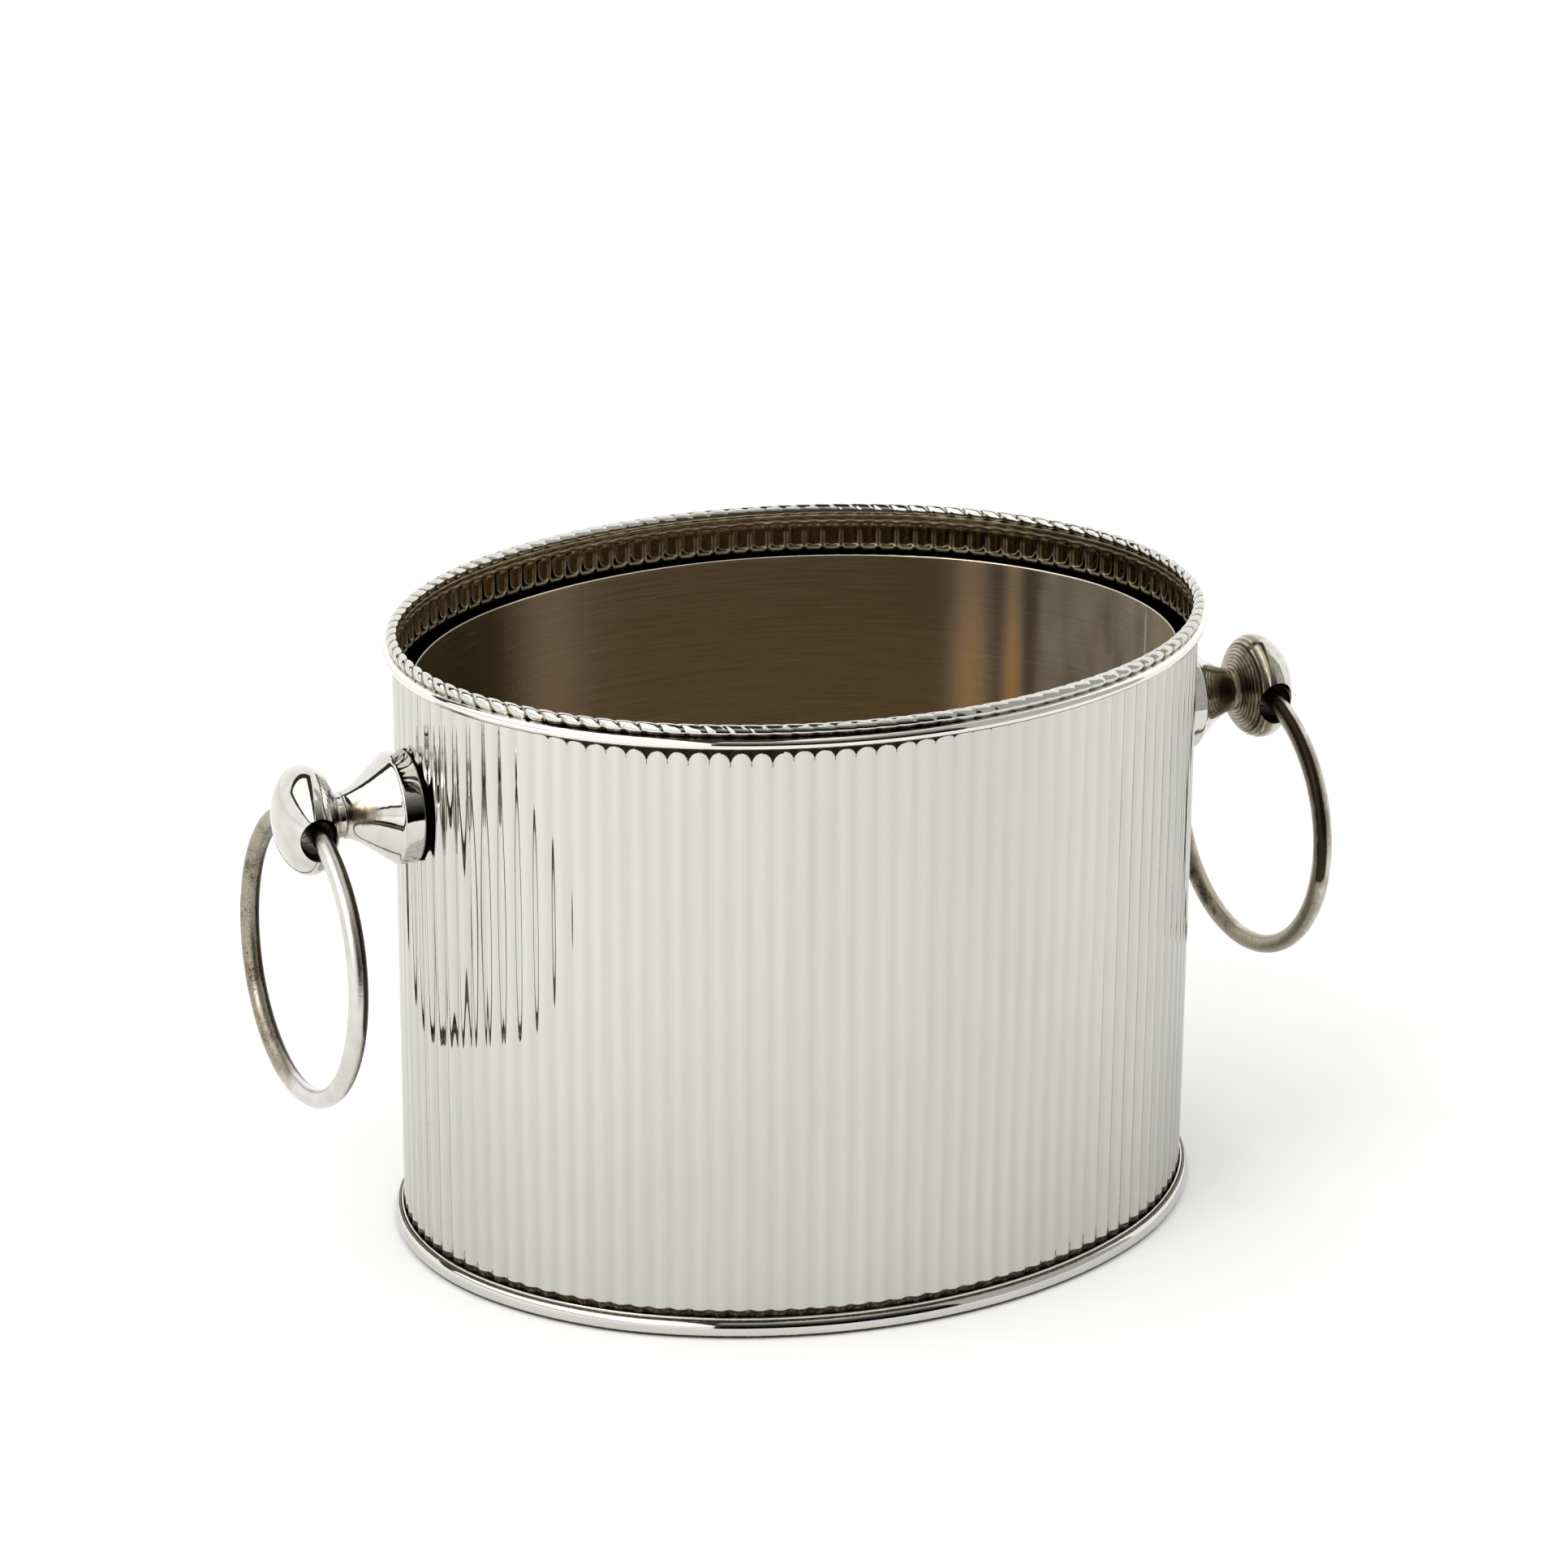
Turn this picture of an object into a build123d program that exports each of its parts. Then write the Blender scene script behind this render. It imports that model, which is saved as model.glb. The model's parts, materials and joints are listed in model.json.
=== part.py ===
from build123d import *

import math
import os

os.makedirs("parts", exist_ok=True)

# Oval champagne bucket of silver-plated sheet: a reeded outer shell with a
# rolled rim and a foot moulding, a loose steel liner that stands on four pads,
# and at each end a turned knob on a flared stem that carries a swinging ring.
# Millimetres. The origin is the centre of the foot, +Z is up, and +X runs along
# the length, from the left handle to the right one.

# Plan of the body, over the crests of the reeds
BODY_LENGTH = 297.0
BODY_WIDTH = 237.6
HEIGHT = 228.0

# Outer shell
SHEET = 0.8
REED_COUNT = 118
REED_DEPTH = 1.0
SEAM_GROOVE = 1.5  # reed pitches from the left end to the lapped seam
SEAM_WIDTH = 2.0
SEAM_CLEARANCE = 1.0  # from the seam strip to the foot moulding and to the rim band
FIT_GAP = 0.05  # round parts that fit closely

# Rim: the sheet's edge rolled over a wire, with a D-shaped band below it
ROLL_RADIUS = 2.2
CORE_RADIUS = 1.65
ROLL_SET_IN = 0.2
NECK_SET_IN = 0.1
NECK_REACH = 1.0  # of plain sheet below the roll
BAND_REACH = 3.2
BAND_RADIUS = 2.1
BAND_DROP = 6.4  # from the top of the rim to the middle of the band

# Foot moulding and bottom
FOOT_REACH = 3.3
FOOT_HEIGHT = 7.4
FOOT_GAP = 0.2  # from the crests of the reeds to the moulding
FOOT_FLANGE = 5.0
FOOT_SAG = 0.4  # from mid height down to the widest part of the moulding
TOE_SET_BACK = 1.6
FLANGE_THICKNESS = 1.0
PLATE_THICKNESS = 1.2

# Liner and the pads that carry it
LINER_GAP = 7.0  # from the crests of the reeds to the liner
LINER_SHEET = 0.8
LINER_TOP = 209.9
LINER_FLOOR = 1.0
LAP_WIDTH = 2.2
LAP_THICKNESS = 0.5
LAP_OFFSET = 4.0  # from the right end to the liner's lapped seam
PAD_THICKNESS = 4.0
PAD_WIDTH = 36.0
PAD_DEPTH = 26.0
PAD_UPSTAND = 10.0
PAD_TO_SHELL = 0.8
PAD_TO_LINER = 0.3

# Handles, with distances along X from the crest of the end reed
KNOB_HEIGHT = 173.4
COLLAR_RADIUS = 20.0
COLLAR_LENGTH = 7.6
COLLAR_CHAMFER = 0.6
FLARE_START = 7.4  # length of the Bezier handle at the collar
FLARE_DROP = 0.7  # share of the collar's radius at that handle
FLARE_END = 5.0  # length of the Bezier handle at the neck
FLARE_RISE = 0.4  # of that handle above the neck's end
NECK_STEP = 0.4  # of the stem's end above the knob's shank
NECK_RADIUS = 8.1
JOINT_DISTANCE = 25.0
BALL_DISTANCE = 37.8
BALL_RADIUS = 19.6
BALL_HALF_LENGTH = 11.3
HOLE_DROP = 1.8  # from the knob's axis down to the ring's hole
HOLE_RADIUS = 6.1
MOUTH_RADIUS = 8.6
MOUTH_ANGLE = 60

# Rings
RING_RADIUS = 50.7  # to the middle of the wire
RING_WIRE = 3.5
RING_LIFT = 1.8  # from the hole's axis up to the middle of the wire

# Fixings behind each handle
STUD_RADIUS = 3.0
STUD_CHAMFER = 0.4
STUD_IN_KNOB = 6.0
STUD_PAST_NUT = 0.2
WASHER_RADIUS = 7.5
WASHER_THICKNESS = 1.0
WASHER_GAP = 0.1
NUT_FLATS = 10.0
NUT_THICKNESS = 3.0

# Sizes that follow
HALF_LENGTH = BODY_LENGTH / 2
HALF_WIDTH = BODY_WIDTH / 2
BORE_RADIUS = STUD_RADIUS + FIT_GAP
WALL_INSIDE = -REED_DEPTH - SHEET
ROLL_HEIGHT = HEIGHT - ROLL_RADIUS
ROLL_HOLLOW = CORE_RADIUS + FIT_GAP
WALL_TOP = ROLL_HEIGHT - ROLL_RADIUS - NECK_REACH
BAND_HEIGHT = HEIGHT - BAND_DROP
SEAM_BOTTOM = FOOT_HEIGHT + SEAM_CLEARANCE
SEAM_TOP = BAND_HEIGHT - BAND_RADIUS - SEAM_CLEARANCE
PLATE_TOP = FLANGE_THICKNESS + PLATE_THICKNESS
LINER_FOOT = PLATE_TOP + PAD_THICKNESS
BALL_X = HALF_LENGTH + BALL_DISTANCE
JOINT_X = HALF_LENGTH + JOINT_DISTANCE
HOLE_HEIGHT = KNOB_HEIGHT - HOLE_DROP
RING_HEIGHT = HOLE_HEIGHT + RING_LIFT - RING_RADIUS

# The plan is an oval of eight tangent arcs. END_TURN and SIDE_TURN are the
# directions, in degrees from +X, in which the wall faces where the arcs meet.
END_TURN = 30
SIDE_TURN = 60


def oval_radii():
    """Radii of the end, corner and side arcs that close the oval."""
    c1, s1 = math.cos(math.radians(END_TURN)), math.sin(math.radians(END_TURN))
    c2, s2 = math.cos(math.radians(SIDE_TURN)), math.sin(math.radians(SIDE_TURN))
    # the corner arc has the curvature of the true ellipse where it faces 45 degrees
    mean_square = (HALF_LENGTH**2 + HALF_WIDTH**2) / 2
    corner = (HALF_LENGTH * HALF_WIDTH) ** 2 / mean_square**1.5
    # the other two then make the arcs reach from one axis to the other
    along_x = HALF_LENGTH - corner * (c1 - c2)
    along_y = HALF_WIDTH - corner * (s2 - s1)
    scale = (1 - c1) * (1 - s2) - c2 * s1
    end = (along_x * (1 - s2) - c2 * along_y) / scale
    side = ((1 - c1) * along_y - s1 * along_x) / scale
    return end, corner, side


END_RADIUS, CORNER_RADIUS, SIDE_RADIUS = oval_radii()
END_CENTRE = HALF_LENGTH - END_RADIUS
SIDE_CENTRE = HALF_WIDTH - SIDE_RADIUS
CORNER_X = END_CENTRE + (END_RADIUS - CORNER_RADIUS) * math.cos(math.radians(END_TURN))
CORNER_Y = (END_RADIUS - CORNER_RADIUS) * math.sin(math.radians(END_TURN))

# Each arc is its centre, radius, the direction it starts in and its turn
CORNER_TURN = SIDE_TURN - END_TURN
SIDE_SWEEP = 2 * (90 - SIDE_TURN)
OVAL = (
    (END_CENTRE, 0, END_RADIUS, -END_TURN, 2 * END_TURN),
    (CORNER_X, CORNER_Y, CORNER_RADIUS, END_TURN, CORNER_TURN),
    (0, SIDE_CENTRE, SIDE_RADIUS, SIDE_TURN, SIDE_SWEEP),
    (-CORNER_X, CORNER_Y, CORNER_RADIUS, 180 - SIDE_TURN, CORNER_TURN),
    (-END_CENTRE, 0, END_RADIUS, 180 - END_TURN, 2 * END_TURN),
    (-CORNER_X, -CORNER_Y, CORNER_RADIUS, 180 + END_TURN, CORNER_TURN),
    (0, -SIDE_CENTRE, SIDE_RADIUS, 180 + SIDE_TURN, SIDE_SWEEP),
    (CORNER_X, -CORNER_Y, CORNER_RADIUS, -SIDE_TURN, CORNER_TURN),
)
OVAL_LENGTH = sum(radius * math.radians(turn) for _, _, radius, _, turn in OVAL)
REED_PITCH = OVAL_LENGTH / REED_COUNT


def oval_face(grow, mode=Mode.ADD):
    """The face inside the oval, made larger all round by grow."""
    with BuildLine() as outline:
        for x, y, radius, start, turn in OVAL:
            CenterArc((x, y), radius + grow, start, turn)
    make_face(outline.edges(), mode=mode)


def oval_point(length, grow):
    """The point at this length round the oval from the right end."""
    rest = (length + END_RADIUS * math.radians(END_TURN)) % OVAL_LENGTH
    for x, y, radius, start, turn in OVAL:
        if rest <= radius * math.radians(turn):
            break
        rest -= radius * math.radians(turn)
    angle = math.radians(start) + rest / radius
    reach = radius + grow
    return x + reach * math.cos(angle), y + reach * math.sin(angle)


def reeded_face(grow, mode=Mode.ADD):
    """The face inside a ring of convex reeds that meet in narrow grooves."""
    with BuildLine() as outline:
        for reed in range(REED_COUNT):
            first = oval_point((reed - 0.5) * REED_PITCH, grow - REED_DEPTH)
            crest = oval_point(reed * REED_PITCH, grow)
            last = oval_point((reed + 0.5) * REED_PITCH, grow - REED_DEPTH)
            ThreePointArc(first, crest, last)
    make_face(outline.edges(), mode=mode)


def run_round_oval(profile):
    """Carries a profile round the oval. Its x is the distance out from the
    crests of the reeds, and its y is the height."""
    for x, y, radius, start, turn in OVAL:
        out_x, out_y = math.cos(math.radians(start)), math.sin(math.radians(start))
        corner = (x + radius * out_x, y + radius * out_y, 0)
        plane = Plane(corner, x_dir=(out_x, out_y, 0), z_dir=(out_y, -out_x, 0))
        with BuildSketch(plane) as section:
            profile()
        revolve(section.sketch, axis=Axis((x, y, 0), (0, 0, 1)), revolution_arc=turn)


def finish(piece, name):
    """Labels a finished piece and writes it to its own file."""
    piece.part.label = name
    export_step(piece.part, f"parts/{name}.step")


# ---------------------------------------------------------------- outer shell
def roll_profile():
    """The hollow roll, with the neck of plain sheet that it stands on."""
    neck_height = ROLL_HEIGHT - WALL_TOP
    with Locations((WALL_INSIDE / 2 - NECK_SET_IN, WALL_TOP + neck_height / 2)):
        Rectangle(-WALL_INSIDE, neck_height)
    with Locations((-ROLL_SET_IN, ROLL_HEIGHT)):
        Circle(ROLL_RADIUS)
        Circle(ROLL_HOLLOW, mode=Mode.SUBTRACT)


with BuildPart() as roll:
    run_round_oval(roll_profile)

with BuildPart() as outer_shell:
    # the reeded wall stands on the flange of the foot moulding
    with BuildSketch(Plane.XY.offset(FLANGE_THICKNESS)):
        reeded_face(0)
        reeded_face(-SHEET, mode=Mode.SUBTRACT)
    extrude(amount=WALL_TOP - FLANGE_THICKNESS)
    # a narrow strip fills the groove where the sheet's ends are lapped
    seam_length = OVAL_LENGTH / 2 + SEAM_GROOVE * REED_PITCH
    seam_x, seam_y = oval_point(seam_length, -REED_DEPTH)
    crest_x, crest_y = oval_point(seam_length, 0)
    seam_angle = math.degrees(math.atan2(crest_y - seam_y, crest_x - seam_x))
    with BuildSketch(Plane.XY.offset(SEAM_BOTTOM)):
        with Locations(Location((seam_x, seam_y), seam_angle)):
            Rectangle(SHEET, SEAM_WIDTH)
    extrude(amount=SEAM_TOP - SEAM_BOTTOM)
    # one hole for a handle stud at each end
    with BuildSketch(Plane.YZ):
        with Locations((0, KNOB_HEIGHT)):
            Circle(BORE_RADIUS)
    extrude(amount=HALF_LENGTH + SHEET, both=True, mode=Mode.SUBTRACT)
    add(roll.part)
finish(outer_shell, "outer_shell")


# ------------------------------------------------------- rim wire and rim band
def core_profile():
    with Locations((-ROLL_SET_IN, ROLL_HEIGHT)):
        Circle(CORE_RADIUS)


with BuildPart() as rim_core_wire:
    run_round_oval(core_profile)
finish(rim_core_wire, "rim_core_wire")


def band_profile():
    """A round wire with its back flattened against the reeds."""
    with Locations((BAND_REACH - BAND_RADIUS, BAND_HEIGHT)):
        Circle(BAND_RADIUS)
    with Locations((BAND_REACH / 2, BAND_HEIGHT)):
        Rectangle(BAND_REACH, 2 * BAND_RADIUS, mode=Mode.INTERSECT)


with BuildPart() as rim_band:
    run_round_oval(band_profile)
finish(rim_band, "rim_band")


# --------------------------------------------------------------- foot moulding
def foot_profile():
    """A half-round moulding with a thin upright lip, and an inward flange."""
    lip = FOOT_GAP + SHEET
    shoulder = FOOT_HEIGHT - SHEET
    toe = FOOT_REACH - TOE_SET_BACK
    with BuildLine() as outline:
        Polyline((toe, 0), (-FOOT_FLANGE, 0), (-FOOT_FLANGE, FLANGE_THICKNESS))
        Line((-FOOT_FLANGE, FLANGE_THICKNESS), (FOOT_GAP, FLANGE_THICKNESS))
        Polyline((FOOT_GAP, FLANGE_THICKNESS), (FOOT_GAP, FOOT_HEIGHT), (lip, FOOT_HEIGHT))
        Line((lip, FOOT_HEIGHT), (lip, shoulder))
        ThreePointArc((lip, shoulder), (FOOT_REACH, FOOT_HEIGHT / 2 - FOOT_SAG), (toe, 0))
    make_face(outline.edges())


with BuildPart() as base_moulding:
    run_round_oval(foot_profile)
finish(base_moulding, "base_moulding")

with BuildPart() as base_plate:
    with BuildSketch(Plane.XY.offset(FLANGE_THICKNESS)):
        oval_face(WALL_INSIDE - FIT_GAP)
    extrude(amount=PLATE_THICKNESS)
finish(base_plate, "base_plate")

# ----------------------------------------------------------------------- liner
with BuildPart() as liner_wall:
    with BuildSketch(Plane.XY.offset(LINER_FOOT)):
        oval_face(-LINER_GAP)
        oval_face(-LINER_GAP - LINER_SHEET, mode=Mode.SUBTRACT)
    extrude(amount=LINER_TOP - LINER_FOOT)
    # the lapped edge of the sheet, on the inside near the right end
    lap_x, lap_y = oval_point(LAP_OFFSET, -LINER_GAP - LINER_SHEET)
    with BuildSketch(Plane.XY.offset(LINER_FOOT + LINER_FLOOR)):
        with Locations((lap_x, lap_y)):
            Rectangle(2 * LAP_THICKNESS, LAP_WIDTH)
    extrude(amount=LINER_TOP - LINER_FOOT - LINER_FLOOR)
finish(liner_wall, "liner_wall")

with BuildPart() as liner_floor:
    with BuildSketch(Plane.XY.offset(LINER_FOOT)):
        oval_face(-LINER_GAP - LINER_SHEET)
    extrude(amount=LINER_FLOOR)
finish(liner_floor, "liner_floor")

# ------------------------------------------------------------------------ pads
PADS = {
    "left_pad": (-HALF_LENGTH, 0, 2 * PAD_DEPTH, PAD_WIDTH),
    "right_pad": (HALF_LENGTH, 0, 2 * PAD_DEPTH, PAD_WIDTH),
    "front_pad": (0, -HALF_WIDTH, PAD_WIDTH, 2 * PAD_DEPTH),
    "back_pad": (0, HALF_WIDTH, PAD_WIDTH, 2 * PAD_DEPTH),
}
for pad_name, (pad_x, pad_y, size_x, size_y) in PADS.items():
    with BuildPart() as pad:
        # the block that the liner stands on
        with BuildSketch(Plane.XY.offset(PLATE_TOP)):
            oval_face(WALL_INSIDE - PAD_TO_SHELL)
            with Locations((pad_x, pad_y)):
                Rectangle(size_x, size_y, mode=Mode.INTERSECT)
        extrude(amount=PAD_THICKNESS)
        # the upstand that keeps the liner central
        with BuildSketch(Plane.XY.offset(LINER_FOOT)):
            oval_face(WALL_INSIDE - PAD_TO_SHELL)
            with Locations((pad_x, pad_y)):
                Rectangle(size_x, size_y, mode=Mode.INTERSECT)
            oval_face(-LINER_GAP + PAD_TO_LINER, mode=Mode.SUBTRACT)
        extrude(amount=PAD_UPSTAND)
    finish(pad, pad_name)

# --------------------------------------------------------------------- handles
for side, word in ((-1, "left"), (1, "right")):
    # in this plane x runs outwards along the knob's axis and y is upwards
    along = Plane((0, 0, KNOB_HEIGHT), x_dir=(side, 0, 0), z_dir=(0, -side, 0))
    knob_axis = Axis((0, 0, KNOB_HEIGHT), (1, 0, 0))
    washer_x = HALF_LENGTH + WALL_INSIDE - WASHER_GAP
    nut_x = washer_x - WASHER_THICKNESS
    stud_x = nut_x - NUT_THICKNESS - STUD_PAST_NUT

    with BuildPart() as stem:
        collar_x = HALF_LENGTH + COLLAR_LENGTH
        neck_end = NECK_RADIUS + NECK_STEP
        with BuildSketch(along):
            with BuildLine():
                Polyline(
                    (HALF_LENGTH, BORE_RADIUS),
                    (HALF_LENGTH, COLLAR_RADIUS),
                    (collar_x - COLLAR_CHAMFER, COLLAR_RADIUS),
                    (collar_x, COLLAR_RADIUS - COLLAR_CHAMFER),
                )
                # a trumpet flare that straightens into the neck
                Bezier(
                    (collar_x, COLLAR_RADIUS - COLLAR_CHAMFER),
                    (collar_x + FLARE_START, FLARE_DROP * COLLAR_RADIUS),
                    (JOINT_X - FLARE_END, neck_end + FLARE_RISE),
                    (JOINT_X, neck_end),
                )
                Polyline(
                    (JOINT_X, neck_end),
                    (JOINT_X, BORE_RADIUS),
                    (HALF_LENGTH, BORE_RADIUS),
                )
            make_face()
        revolve(axis=knob_axis)
    finish(stem, f"{word}_stem")

    with BuildPart() as knob:
        with BuildSketch(along):
            with Locations((BALL_X, 0)):
                Ellipse(BALL_HALF_LENGTH, BALL_RADIUS)
            # the shank that meets the stem
            with Locations(((JOINT_X + BALL_X) / 2, 0)):
                Rectangle(BALL_X - JOINT_X, 2 * NECK_RADIUS)
            with Locations((BALL_X, BALL_RADIUS)):
                Rectangle(4 * BALL_RADIUS, 2 * BALL_RADIUS, mode=Mode.INTERSECT)
        revolve(axis=knob_axis)
        # blind bore for the stud
        with BuildSketch(Plane((side * JOINT_X, 0, KNOB_HEIGHT), z_dir=(side, 0, 0))):
            Circle(BORE_RADIUS)
        extrude(amount=STUD_IN_KNOB + FIT_GAP, mode=Mode.SUBTRACT)
        # cross hole for the ring, flared at both mouths
        for front in (-1, 1):
            mouth = (side * BALL_X, front * BALL_RADIUS, HOLE_HEIGHT)
            with Locations(Plane(mouth, z_dir=(0, front, 0))):
                CounterSinkHole(HOLE_RADIUS, MOUTH_RADIUS, counter_sink_angle=MOUTH_ANGLE)
    finish(knob, f"{word}_knob")

    with BuildPart() as stud:
        with BuildSketch(Plane((side * stud_x, 0, KNOB_HEIGHT), z_dir=(side, 0, 0))):
            Circle(STUD_RADIUS)
        extrude(amount=JOINT_X + STUD_IN_KNOB - stud_x)
        chamfer(edges().filter_by(GeomType.CIRCLE), STUD_CHAMFER)
    finish(stud, f"{word}_stud")

    with BuildPart() as washer:
        with BuildSketch(Plane((side * nut_x, 0, KNOB_HEIGHT), z_dir=(side, 0, 0))):
            Circle(WASHER_RADIUS)
            Circle(BORE_RADIUS, mode=Mode.SUBTRACT)
        extrude(amount=WASHER_THICKNESS)
    finish(washer, f"{word}_washer")

    with BuildPart() as nut:
        with BuildSketch(Plane((side * nut_x, 0, KNOB_HEIGHT), z_dir=(-side, 0, 0))):
            RegularPolygon(NUT_FLATS / 2, 6, major_radius=False)
            Circle(BORE_RADIUS, mode=Mode.SUBTRACT)
        extrude(amount=NUT_THICKNESS)
    finish(nut, f"{word}_nut")

    with BuildPart() as ring:
        with Locations(Location((side * BALL_X, 0, RING_HEIGHT), (0, 90, 0))):
            Torus(RING_RADIUS, RING_WIRE)
    finish(ring, f"{word}_ring")
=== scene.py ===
import json
import math

import bpy
import numpy as np
from mathutils import Matrix, Vector

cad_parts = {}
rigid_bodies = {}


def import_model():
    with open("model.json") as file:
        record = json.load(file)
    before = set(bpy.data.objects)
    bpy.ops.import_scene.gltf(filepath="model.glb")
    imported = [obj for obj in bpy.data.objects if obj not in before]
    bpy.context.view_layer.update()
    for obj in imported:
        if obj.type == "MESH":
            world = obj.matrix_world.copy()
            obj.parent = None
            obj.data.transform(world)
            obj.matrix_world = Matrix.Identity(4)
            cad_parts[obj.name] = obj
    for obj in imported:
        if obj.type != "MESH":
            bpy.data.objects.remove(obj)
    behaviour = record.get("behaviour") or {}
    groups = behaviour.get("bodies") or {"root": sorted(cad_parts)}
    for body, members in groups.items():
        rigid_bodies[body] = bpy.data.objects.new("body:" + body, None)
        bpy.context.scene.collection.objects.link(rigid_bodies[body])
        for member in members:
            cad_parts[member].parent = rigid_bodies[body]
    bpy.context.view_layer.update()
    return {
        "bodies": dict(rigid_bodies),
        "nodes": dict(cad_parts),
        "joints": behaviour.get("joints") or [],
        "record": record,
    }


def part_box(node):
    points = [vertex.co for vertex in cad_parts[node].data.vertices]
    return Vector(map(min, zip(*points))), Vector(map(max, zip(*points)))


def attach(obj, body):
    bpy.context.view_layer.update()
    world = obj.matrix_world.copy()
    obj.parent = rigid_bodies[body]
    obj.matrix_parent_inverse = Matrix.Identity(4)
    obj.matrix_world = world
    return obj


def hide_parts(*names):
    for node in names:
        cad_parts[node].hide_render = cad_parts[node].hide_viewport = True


# Looks of the oval reeded champagne bucket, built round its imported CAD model.
# Lengths are in millimetres, and become metres where a mesh is made.

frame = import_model()
scene = bpy.context.scene
MM = 0.001


def box(node):
    """Lowest and highest corner of a CAD node, in millimetres."""
    low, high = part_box(node)
    return np.array(low) / MM, np.array(high) / MM


def span(node):
    """Heights at which a CAD node begins and ends, in millimetres."""
    return tuple(corner[2] for corner in box(node))


# ------------------------------------------------------------------ dimensions
# Distances called "grow" are measured outwards from the crests of the reeds,
# and "lengths" round the oval from its right end.
BAND_REACH = 3.2  # how far the rim band stands out from the crests
BAND_RADIUS = 2.1
ROLL_RADIUS = 2.17
ROLL_GROW = -0.2  # of the middle of the roll
ROLL_SINK = 0.03  # keeps the uneven roll under the top of the CAD model
SHEET = 0.8
REED_COUNT = 118
REED_DEPTH = 1.0  # as made
WORN_DEPTH = 0.72  # as it looks
REED_SHAPE = 1.1  # over 1, crests are broader than grooves
SEAM_GROOVE = 1.5  # reeds from the left end to the shell's lapped seam
FOOT_REACH = 3.3  # how far the foot moulding stands out from the crests
FOOT_GAP = 0.2
FOOT_FLANGE = 5.0
LINER_GAP = 7.0  # from the crests in to the liner
LINER_SHEET = 0.8
LAP_WIDTH = 2.2  # of the liner's seam
LAP_THICKNESS = 0.45
LAP_OFFSET = 4.0  # from the right end
WIRE_RADIUS = 3.5  # of a ring's wire
RING_YAW = 4.4  # degrees that both rings hang turned
RING_SWING = {"left": 2.9, "right": 0.8}  # degrees that each leans outwards

HALF_LENGTH, HALF_WIDTH = box("rim_band")[1][:2] - BAND_REACH
SHELL_FOOT, HEIGHT = span("outer_shell")
BAND_HEIGHT = sum(span("rim_band")) / 2
FOOT_HEIGHT = span("base_moulding")[1]
LINER_FOOT, LINER_TOP = span("liner_wall")
LINER_FLOOR = span("liner_floor")[1]
KNOB_HEIGHT = sum(span("right_stem")) / 2

# -------------------------------------------------------------------- the oval
# the way the wall faces where an end arc and a side arc stop
END_TURN, SIDE_TURN = math.radians(30), math.radians(60)


def oval_arcs():
    """Centre, radius, first direction and turn of the eight arcs of the plan."""
    c1, s1 = math.cos(END_TURN), math.sin(END_TURN)
    c2, s2 = math.cos(SIDE_TURN), math.sin(SIDE_TURN)
    corner = (HALF_LENGTH * HALF_WIDTH) ** 2 / ((HALF_LENGTH**2 + HALF_WIDTH**2) / 2) ** 1.5
    along_x = HALF_LENGTH - corner * (c1 - c2)
    along_y = HALF_WIDTH - corner * (s2 - s1)
    scale = (1 - c1) * (1 - s2) - c2 * s1
    end = (along_x * (1 - s2) - c2 * along_y) / scale
    side = ((1 - c1) * along_y - s1 * along_x) / scale
    end_x, side_y = HALF_LENGTH - end, HALF_WIDTH - side
    corner_x, corner_y = end_x + (end - corner) * c1, (end - corner) * s1
    bend = SIDE_TURN - END_TURN
    sweep = math.pi - 2 * SIDE_TURN
    return np.array([
        (end_x, 0, end, -END_TURN, 2 * END_TURN),
        (corner_x, corner_y, corner, END_TURN, bend),
        (0, side_y, side, SIDE_TURN, sweep),
        (-corner_x, corner_y, corner, math.pi - SIDE_TURN, bend),
        (-end_x, 0, end, math.pi - END_TURN, 2 * END_TURN),
        (-corner_x, -corner_y, corner, math.pi + END_TURN, bend),
        (0, -side_y, side, math.pi + SIDE_TURN, sweep),
        (corner_x, -corner_y, corner, -SIDE_TURN, bend),
    ])


ARCS = oval_arcs()
ARC_ENDS = np.cumsum(ARCS[:, 2] * ARCS[:, 4])
OVAL_LENGTH = ARC_ENDS[-1]
REED_PITCH = OVAL_LENGTH / REED_COUNT


def on_oval(lengths):
    """Points of the crest line at these lengths, and the directions in which
    the wall faces there."""
    rest = (lengths + ARCS[0, 2] * END_TURN) % OVAL_LENGTH
    which = np.minimum(np.searchsorted(ARC_ENDS, rest, side="right"), len(ARCS) - 1)
    x, y, radius, start, turn = ARCS[which].T
    angle = start + turn + (rest - ARC_ENDS[which]) / radius
    facing = np.stack([np.cos(angle), np.sin(angle)], -1)
    return np.stack([x, y], -1) + radius[:, None] * facing, facing


def even_lengths(count):
    """Lengths all round the oval in even steps."""
    return np.arange(count) * OVAL_LENGTH / count


def from_right_end(lengths):
    """Share of the way round from the right end, by the shorter way."""
    return np.minimum(lengths, OVAL_LENGTH - lengths) / OVAL_LENGTH


# --------------------------------------------------------------- mesh builders
def mesh_object(name, points, faces):
    """A new object in the scene, with this mesh."""
    mesh = bpy.data.meshes.new(name)
    mesh.from_pydata((points * MM).tolist(), [], faces)
    made = bpy.data.objects.new(name, mesh)
    scene.collection.objects.link(made)
    return made


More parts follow.
